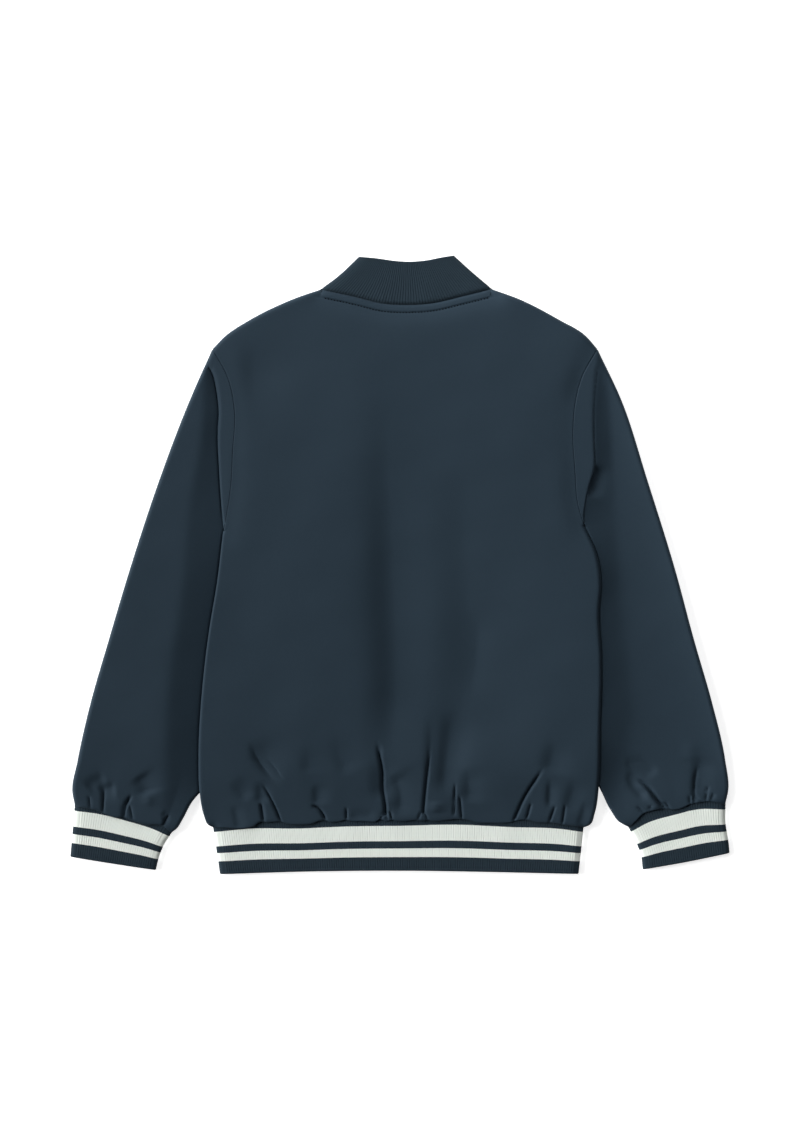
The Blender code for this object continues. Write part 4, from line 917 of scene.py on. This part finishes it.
def makeSleeve(side):
    # The cap's rows take a long way down the outer edge and a short one down the inner edge
    size = {"columns": 52, "capRows": 46, "capOuter": 0.165, "capInner": 0.008, "gathers": 0.055,
            "stepHigh": 0.0040, "stepLow": 0.0014, "lowShare": 0.3, "flat": (0.215, 0.480), "cut": 0.0755}
    long = size["capOuter"]
    cap = np.r_[foldSteps, np.linspace(foldSteps[-1], long, size["capRows"])[1:-1]] / long
    counts = stepCounts(lengthOf(side.sleeve) - long, size)
    outer, inner = (at(line, np.r_[cap * start, rowsDown(start, lengthOf(line), size["gathers"], *counts)])
                    for line, start in ((side.sleeve, long), (side.inner, size["capInner"])))
    folds = sleeveShapes[side.name]["folds"]
    end = spaced(side.edgeLine, size["columns"])
    edges = [side.edgeLine, side.armhole, side.sleeve, side.inner]
    plan, layer = ring(*(drawnIn(fill(spaced(line, size["columns"]), end, outer, inner), folds, edges)
                         for line in (side.armhole, side.armholeFront)))

    def relief(points):
        return fadedAt(reliefOf(points, folds), points, side.edgeLine)
    clothPiece(f"sleeve_shell_{side.name}", f"sleeve_{side.name}", plan, sleeveTop(side), relief, layer,
               size["lowShare"])


# Ribs

# Rows down a rib, as shares of the part in sight, and up its tucked part
ribRows = np.r_[0, 0.012, 0.030, 0.055, 0.080, np.linspace(0.11, 0.95, 18), 0.972, 0.984, 0.992, 0.9975, 1]
tuckRows = np.array([1, 0.75, 0.5, 0.25])
# For each rib: how far it is tucked in, its flat size and its cut area
ribCuts = {
    "hem_rib": (0.005, (0.700, 0.056), 0.0380), "collar_rib": (0.004, (0.390, 0.046), 0.0147),
    "cuff_rib_left": (0.008, (0.200, 0.056), 0.0105), "cuff_rib_right": (0.008, (0.200, 0.056), 0.0108),
}
ribSteps = {"hem": 0.00051, "collar": 0.00051, "cuff": 0.00053}
collarForm = {"rise": 0.0004, "swells": ((0.0005, 0.05, 21),), "dip": 0.0022, "dipReach": 0.0019}


def ribShell(name, plan, layer, top, closed, nodes, finish):
    # A rib's wall, waved along its normals by depth * cos(2 pi * way round / pitch)
    tuck, flat, cut = ribCuts[name]
    base, extra = lifted(plan, top, rib["low"], layer)
    # The tucked part goes on straight above the seam, and the lower layer climbs over its cloth there
    back = plan[0] - plan[rib["aimRow"]]
    back = back / np.linalg.norm(back, axis=1)[:, None]
    down = np.linalg.norm(np.diff(base, axis=0, prepend=base[:1])[..., :2], axis=2).cumsum(0)
    base[..., 2] += rib["rise"] * smooth(1 - down / rib["riseReach"]) * (layer < 0)
    hidden = np.repeat(base[:1], len(tuckRows), axis=0)
    hidden[..., :2] += tuckRows[:, None, None] * tuck * back
    base = np.concatenate([hidden, base])
    extra = np.concatenate([np.zeros((len(tuckRows), plan.shape[1])), extra])
    middle = base[len(base) // 2]
    around = distances(middle)
    if closed:
        total = lengthOf(np.concatenate([middle, middle[:1]]))
        around = around * (round(total / rib["pitch"]) * rib["pitch"] / total)
    rows = np.r_[-tuckRows * rib["tuckRun"], ribRows]
    uv = np.stack(np.broadcast_arrays(around[None, :], rows[:, None]), axis=2)
    swell = rib["depth"] * np.cos(2 * math.pi * around / rib["pitch"])
    mesh = shell(name, base, extra, layer, rib["wall"], rib["rim"], closed, swell, uv)
    made = piece(mesh, finish, nodes)


def ribTop(points):
    # Level with swells
    return rib["top"] + swelled(points, rib["swells"])


def collarTop(points):
    # A little over the other ribs, with a dip at the neck seam: dip * exp(-(distance / reach) ^ 2)
    form = collarForm
    dip = form["dip"] * np.exp(-(gapTo(points, [neckLine]) / form["dipReach"]) ** 2)
    return rib["top"] + form["rise"] + swelled(points, form["swells"]) - dip


def evenRun(total, step):
    # Distances along a rib, even between its folded ends
    steps = foldSteps * (cloth["lowFoldReach"] / cloth["foldReach"])
    inside = np.linspace(steps[-1], total - steps[-1], int((total - 2 * steps[-1]) / step))
    return np.r_[0, steps[3:-1], inside, total - steps[-2:2:-1], total]


def strip(left, back, right):
    # From one front edge along the lower layer, over the back, and along the lower layer to the other
    layer = np.r_[-np.ones(left.shape[1] - 1), np.ones(back.shape[1]), -np.ones(right.shape[1] - 1)]
    first = left.shape[1] - 1
    layer[[first, first + back.shape[1] - 1]] = 0
    return np.concatenate([left[:, :0:-1], back, right[:, 1:]], axis=1), layer


def frontPart(top, bottom, fold):
    # A band's part on the front, from its fold to its straight edge at the zip
    return fill(top, bottom, fold, top[-1] + ribRows[:, None] * (bottom[-1] - top[-1]))


def makeHemBand():
    # The back's part and the two front parts, joined at the side folds
    total = lengthOf(hemLine)
    where = evenRun(total, ribSteps["hem"])
    folds = [share(side.band, ribRows) for side in sides]
    fronts = []
    for side, fold in zip(sides, folds):
        span = hemPart(side, lambda length: evenRun(length, ribSteps["hem"]))
        top, bottom = at(hemLine, span), share(bandLine, span / total)
        bottom[-1, 0] = top[-1, 0] = frontEdge(side)
        fronts.append(frontPart(top, bottom, fold))
    back = fill(at(hemLine, where), share(bandLine, where / total), *folds)
    plan, layer = strip(fronts[0], back, fronts[1])
    ribShell("hem_rib", plan, layer, ribTop, False, ["hem_band"], stripedRib)


def makeCollar():
    # As the hem band, along the neck
    where, *spans = (evenRun(lengthOf(line), ribSteps["collar"]) / lengthOf(line)
                     for line in (neckLine, *(side.neckFront for side in sides)))
    folds = [share(side.collar[::-1], ribRows) for side in sides]
    left, right = (frontPart(share(side.neckFront, span), share(side.collarFront, span), fold)
                   for side, span, fold in zip(sides, spans, folds))
    plan, layer = strip(left, fill(share(neckLine, where), share(collarLine, where), *folds), right)
    ribShell("collar_rib", plan, layer, collarTop, False, ["collar"], navyRib)


def makeCuff(side):
    # A tube of two equal halves
    total = lengthOf(side.cuffSeam)
    where = evenRun(total, ribSteps["cuff"]) / total
    half = fill(share(side.cuffSeam, where), share(side.cuffEdge, where), share(side.cuff, ribRows),
                share(side.cuffInner, ribRows))
    plan, layer = ring(half, half)
    ribShell(f"cuff_rib_{side.name}", plan, layer, ribTop, True, [f"cuff_{side.name}"], stripedRib)


# Stitches. Each row starts and ends a little inside its piece

stitchSize = {"pitch": 0.0029, "length": 0.0017, "neckRadius": 0.00070, "radius": 0.00022,
              "frontInset": 0.0060, "neckEnd": 0.004, "hemEnd": 0.0015, "frontEnd": 0.001, "sunk": 0.5,
              "aim": 0.0002, "neckPoints": 80}


def solidOf(make, **settings):
    # Points and triangles of a small solid
    form = bmesh.new()
    make(form, **settings)
    bmesh.ops.triangulate(form, faces=form.faces)
    bmesh.ops.recalc_face_normals(form, faces=form.faces)
    form.verts.index_update()
    points = np.array([corner.co for corner in form.verts])
    faces = np.array([[corner.index for corner in face.verts] for face in form.faces])
    form.free()
    return points, faces


def repeated(solid, places, angles):
    # A copy of a small solid at each place, turned in plan by its angle
    points, faces = solid
    cos, sin = np.cos(angles)[:, None], np.sin(angles)[:, None]
    turned = np.stack([cos * points[:, 0] - sin * points[:, 1], sin * points[:, 0] + cos * points[:, 1],
                       np.broadcast_to(points[:, 2], (len(places), len(points)))], axis=2)
    index = faces + len(points) * np.arange(len(places))[:, None, None]
    return (turned + places[:, None]).reshape(-1, 3), index.reshape(-1, 3)


def makeStitches(name, path, heights, radius):
    # Long beads along a path, at the height that heights gives for plan points
    size = stitchSize
    where = np.arange(size["pitch"] / 2, lengthOf(path), size["pitch"])
    middle, ahead = at(path, where), at(path, where + size["aim"]) - at(path, where - size["aim"])
    points, faces = solidOf(bmesh.ops.create_uvsphere, u_segments=6, v_segments=6, radius=1.0)
    # The ball's poles are turned to the bead's ends
    solid = points[:, [2, 0, 1]] * [size["length"] / 2, radius, radius], faces
    points, faces = repeated(solid, np.column_stack([middle, heights(middle)]),
                             np.arctan2(ahead[:, 1], ahead[:, 0]))
    piece(meshOf(name, points, faces), thread, [])


def makeNeckStitches():
    # In the groove along the lower edge of the strip under the collar
    path = neckLine + neckStrip["width"] * lineNormals(neckLine, -1)
    end = stitchSize["neckEnd"]
    path = at(path, np.linspace(end, lengthOf(path) - end, stitchSize["neckPoints"]))

    def heights(points):
        base, extra = lifted(points[None], bodyTop, cloth["low"], 1, backRelief)
        sunk = stitchSize["sunk"] * neckStrip["stitchDepth"]
        return base[0, :, 2] + extra[0] + cloth["wall"] / 2 + sunk
    makeStitches("neck_stitches", path, heights, stitchSize["neckRadius"])


def makeFrontStitches(side):
    # A straight row beside a front's edge, on the table's side
    size = stitchSize
    x = frontEdge(side) + side.sign * size["frontInset"]
    low = np.interp(x, hemLine[:, 0], hemLine[:, 1]) + size["hemEnd"]
    high = np.interp(x, side.neckFront[::-side.sign, 0], side.neckFront[::-side.sign, 1]) - size["frontEnd"]
    makeStitches(f"front_stitches_{side.name}", np.array([(x, low), (x, high)]),
                 lambda points: np.zeros(len(points)), size["radius"])


# Zip. Edges of the slider, the end box and the pull that turn by more than sharp are rounded

zipParts = {"pitch": 0.0020, "tooth": (0.0036, 0.00092, 0.0016), "chamfer": 0.00022, "overlap": 0.0006}
rounding = {"offset": {"zip_slider": 0.00018, "zip_box": 0.00018, "zip_pull": 0.00014},
            "merge": 0.000002, "flat": math.radians(2), "sharp": 0.6}
tapeForm = {"wall": 0.0006, "rim": 0.0003, "bead": 0.00022, "beadPlace": 0.0008, "beadReach": 0.0006,
            "ends": np.array([0, 0.00006, 0.0002, 0.00045]), "across": (0.001, 8), "along": (0.002, 170)}


def chamferedBox(form, size, chamfer):
    bmesh.ops.create_cube(form, size=1.0)
    bmesh.ops.scale(form, vec=size, verts=form.verts)
    bmesh.ops.bevel(form, geom=form.edges[:], offset=chamfer, segments=1, affect="EDGES")


def makeChain():
    # Two rows of teeth that lock into each other, each row half a pitch from the other
    low, high = chainLow, chainHigh
    size, pitch = zipParts["tooth"], zipParts["pitch"]
    solid = solidOf(chamferedBox, size=size, chamfer=zipParts["chamfer"])
    ys = np.arange(low[1] + size[1], high[1] - size[1] - pitch / 2, pitch)
    middle = (low + high) / 2
    reach = size[0] / 2 - zipParts["overlap"]
    rows = [np.broadcast_arrays(middle[0] + sign * reach, ys + half * pitch / 2, middle[2])
            for sign, half in ((-1, 0), (1, 1))]
    places = np.concatenate([np.stack(row, axis=1) for row in rows])
    points, faces = repeated(solid, places, np.zeros(len(places)))
    mesh = meshOf("zip_teeth", points, faces)
    mesh.shade_flat()
    piece(mesh, zipMetal, ["zip_chain"])


def makeTape(side):
    # A flat woven tape, thicker along the teeth by bead * exp(-((way in - place) / reach) ^ 2)
    low, high = (np.array(corner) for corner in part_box(f"zip_tape_{side.name}"))
    form = tapeForm
    width, length = (high - low)[:2]
    across, along = (np.r_[form["ends"], np.linspace(inset, size - inset, count), size - form["ends"][::-1]]
                     for size, (inset, count) in ((width, form["across"]), (length, form["along"])))
    plan = np.stack(np.meshgrid(low[0] + across, high[1] - along), axis=2)
    middle = np.full(plan.shape[:2], (low[2] + high[2]) / 2)
    base = np.concatenate([plan, middle[..., None]], axis=2)
    inward = high[0] - plan[..., 0] if side.sign < 0 else plan[..., 0] - low[0]
    bead = form["bead"] * np.exp(-((inward - form["beadPlace"]) / form["beadReach"]) ** 2)
    mesh = shell(f"tape_{side.name}", base, 0 * middle, 1, form["wall"], form["rim"], swell=bead)
    made = piece(mesh, zipTape, [f"zip_tape_{side.name}"])


def makeRounded(node, name, body="jacket"):
    # The frame's own solid with its edges rounded
    mesh = bpy.data.objects[node].data.copy()
    mesh.name = name
    mesh.materials.clear()
    form = bmesh.new()
    form.from_mesh(mesh)
    bmesh.ops.remove_doubles(form, verts=form.verts, dist=rounding["merge"])
    bmesh.ops.dissolve_limit(form, angle_limit=rounding["flat"], verts=form.verts, edges=form.edges)
    sharp = [edge for edge in form.edges
             if len(edge.link_faces) == 2 and edge.calc_face_angle() > rounding["sharp"]]
    bmesh.ops.bevel(form, geom=sharp, offset=rounding["offset"][node], segments=2, affect="EDGES",
                    clamp_overlap=True)
    bmesh.ops.triangulate(form, faces=form.faces)
    form.to_mesh(mesh)
    form.free()
    piece(mesh, zipMetal, [node], body)


# Stage

stage = {"half": 6.0, "z": -0.0003, "glow": 0.75, "sky": 0.045, "sunsAway": 3,
         "shader": {"Base Color": (0.80, 0.80, 0.80, 1), "Roughness": 0.9, "Emission Color": (1, 1, 1, 1)}}
# Far soft lamps: the way towards each, its strength, and the angle that its disc fills
suns = {"left": {"towards": (-0.87, 0.30, 0.39), "power": 5.4, "angle": 0.80},
        "right": {"towards": (0.85, 0.20, 0.52), "power": 0.22, "angle": 0.80}}
headLamp = {"place": (0.15, 0.85, 0.60), "aim": (0.0, 0.25, 0.0), "size": 0.5, "power": 3.7}
# Straight above, with the jacket framed as it lies: 0.95 mm to each of 800 by 1131 steps
view = {"step": 0.00095, "steps": 1131, "focal": 100.0, "sensor": 36.0, "level": 0.007, "y": -0.0009}


def placed(name, data, place, back):
    # An object of its own in the scene. A lamp shines the other way from back
    made = bpy.data.objects.new(name, data)
    made.location = place
    if back:
        made.rotation_euler = Vector(back).to_track_quat("Z", "Y").to_euler()
    bpy.context.scene.collection.objects.link(made)
    return made


def makeStage():
    # A light table: it glows a little, which keeps the jacket's shadow faint
    corners = np.array([(x * stage["half"], y * stage["half"], stage["z"])
                        for x, y in ((-1, -1), (1, -1), (1, 1), (-1, 1))])
    mesh = meshOf("floor", corners, np.array([[0, 1, 2, 3]]))
    made = bpy.data.materials.new("paleFloor")
    made.use_nodes = True
    mesh.materials.append(dressed(made, {**stage["shader"], "Emission Strength": stage["glow"]}))
    placed("floor", mesh, (0, 0, 0), None)


def makeLights():
    for name, sun in suns.items():
        data = bpy.data.lights.new(name, "SUN")
        data.energy, data.angle = sun["power"], sun["angle"]
        placed(name, data, Vector(sun["towards"]) * stage["sunsAway"], sun["towards"])
    # A square lamp near the collar, so the hem is a little darker
    data = bpy.data.lights.new("head", "AREA")
    data.energy, data.size = headLamp["power"], headLamp["size"]
    placed("head", data, headLamp["place"], Vector(headLamp["place"]) - Vector(headLamp["aim"]))
    world = bpy.data.worlds.new("sky")
    world.use_nodes = True
    setInputs(world.node_tree, world.node_tree.nodes["Background"], {0: (1, 1, 1, 1), 1: stage["sky"]})
    bpy.context.scene.world = world


def makeCamera():
    # Height over the jacket: framed length * focal length / sensor
    data = bpy.data.cameras.new("camera")
    data.lens, data.sensor_width = view["focal"], view["sensor"]
    height = view["step"] * view["steps"] * view["focal"] / view["sensor"]
    bpy.context.scene.camera = placed("camera", data, (0, view["y"], view["level"] + height), None)


makeBack()
for side in sides:
    makeFront(side)
    makeSleeve(side)
    makeCuff(side)
makeHemBand()
makeCollar()
makeNeckStitches()
makeChain()
for side in sides:
    makeFrontStitches(side)
    makeTape(side)
makeRounded("zip_slider", "slider")
makeRounded("zip_box", "end_box")
makeRounded("zip_pull", "pull_tab", "pull")
makeStage()
makeLights()
makeCamera()
bpy.context.scene.view_settings.view_transform = "Standard"
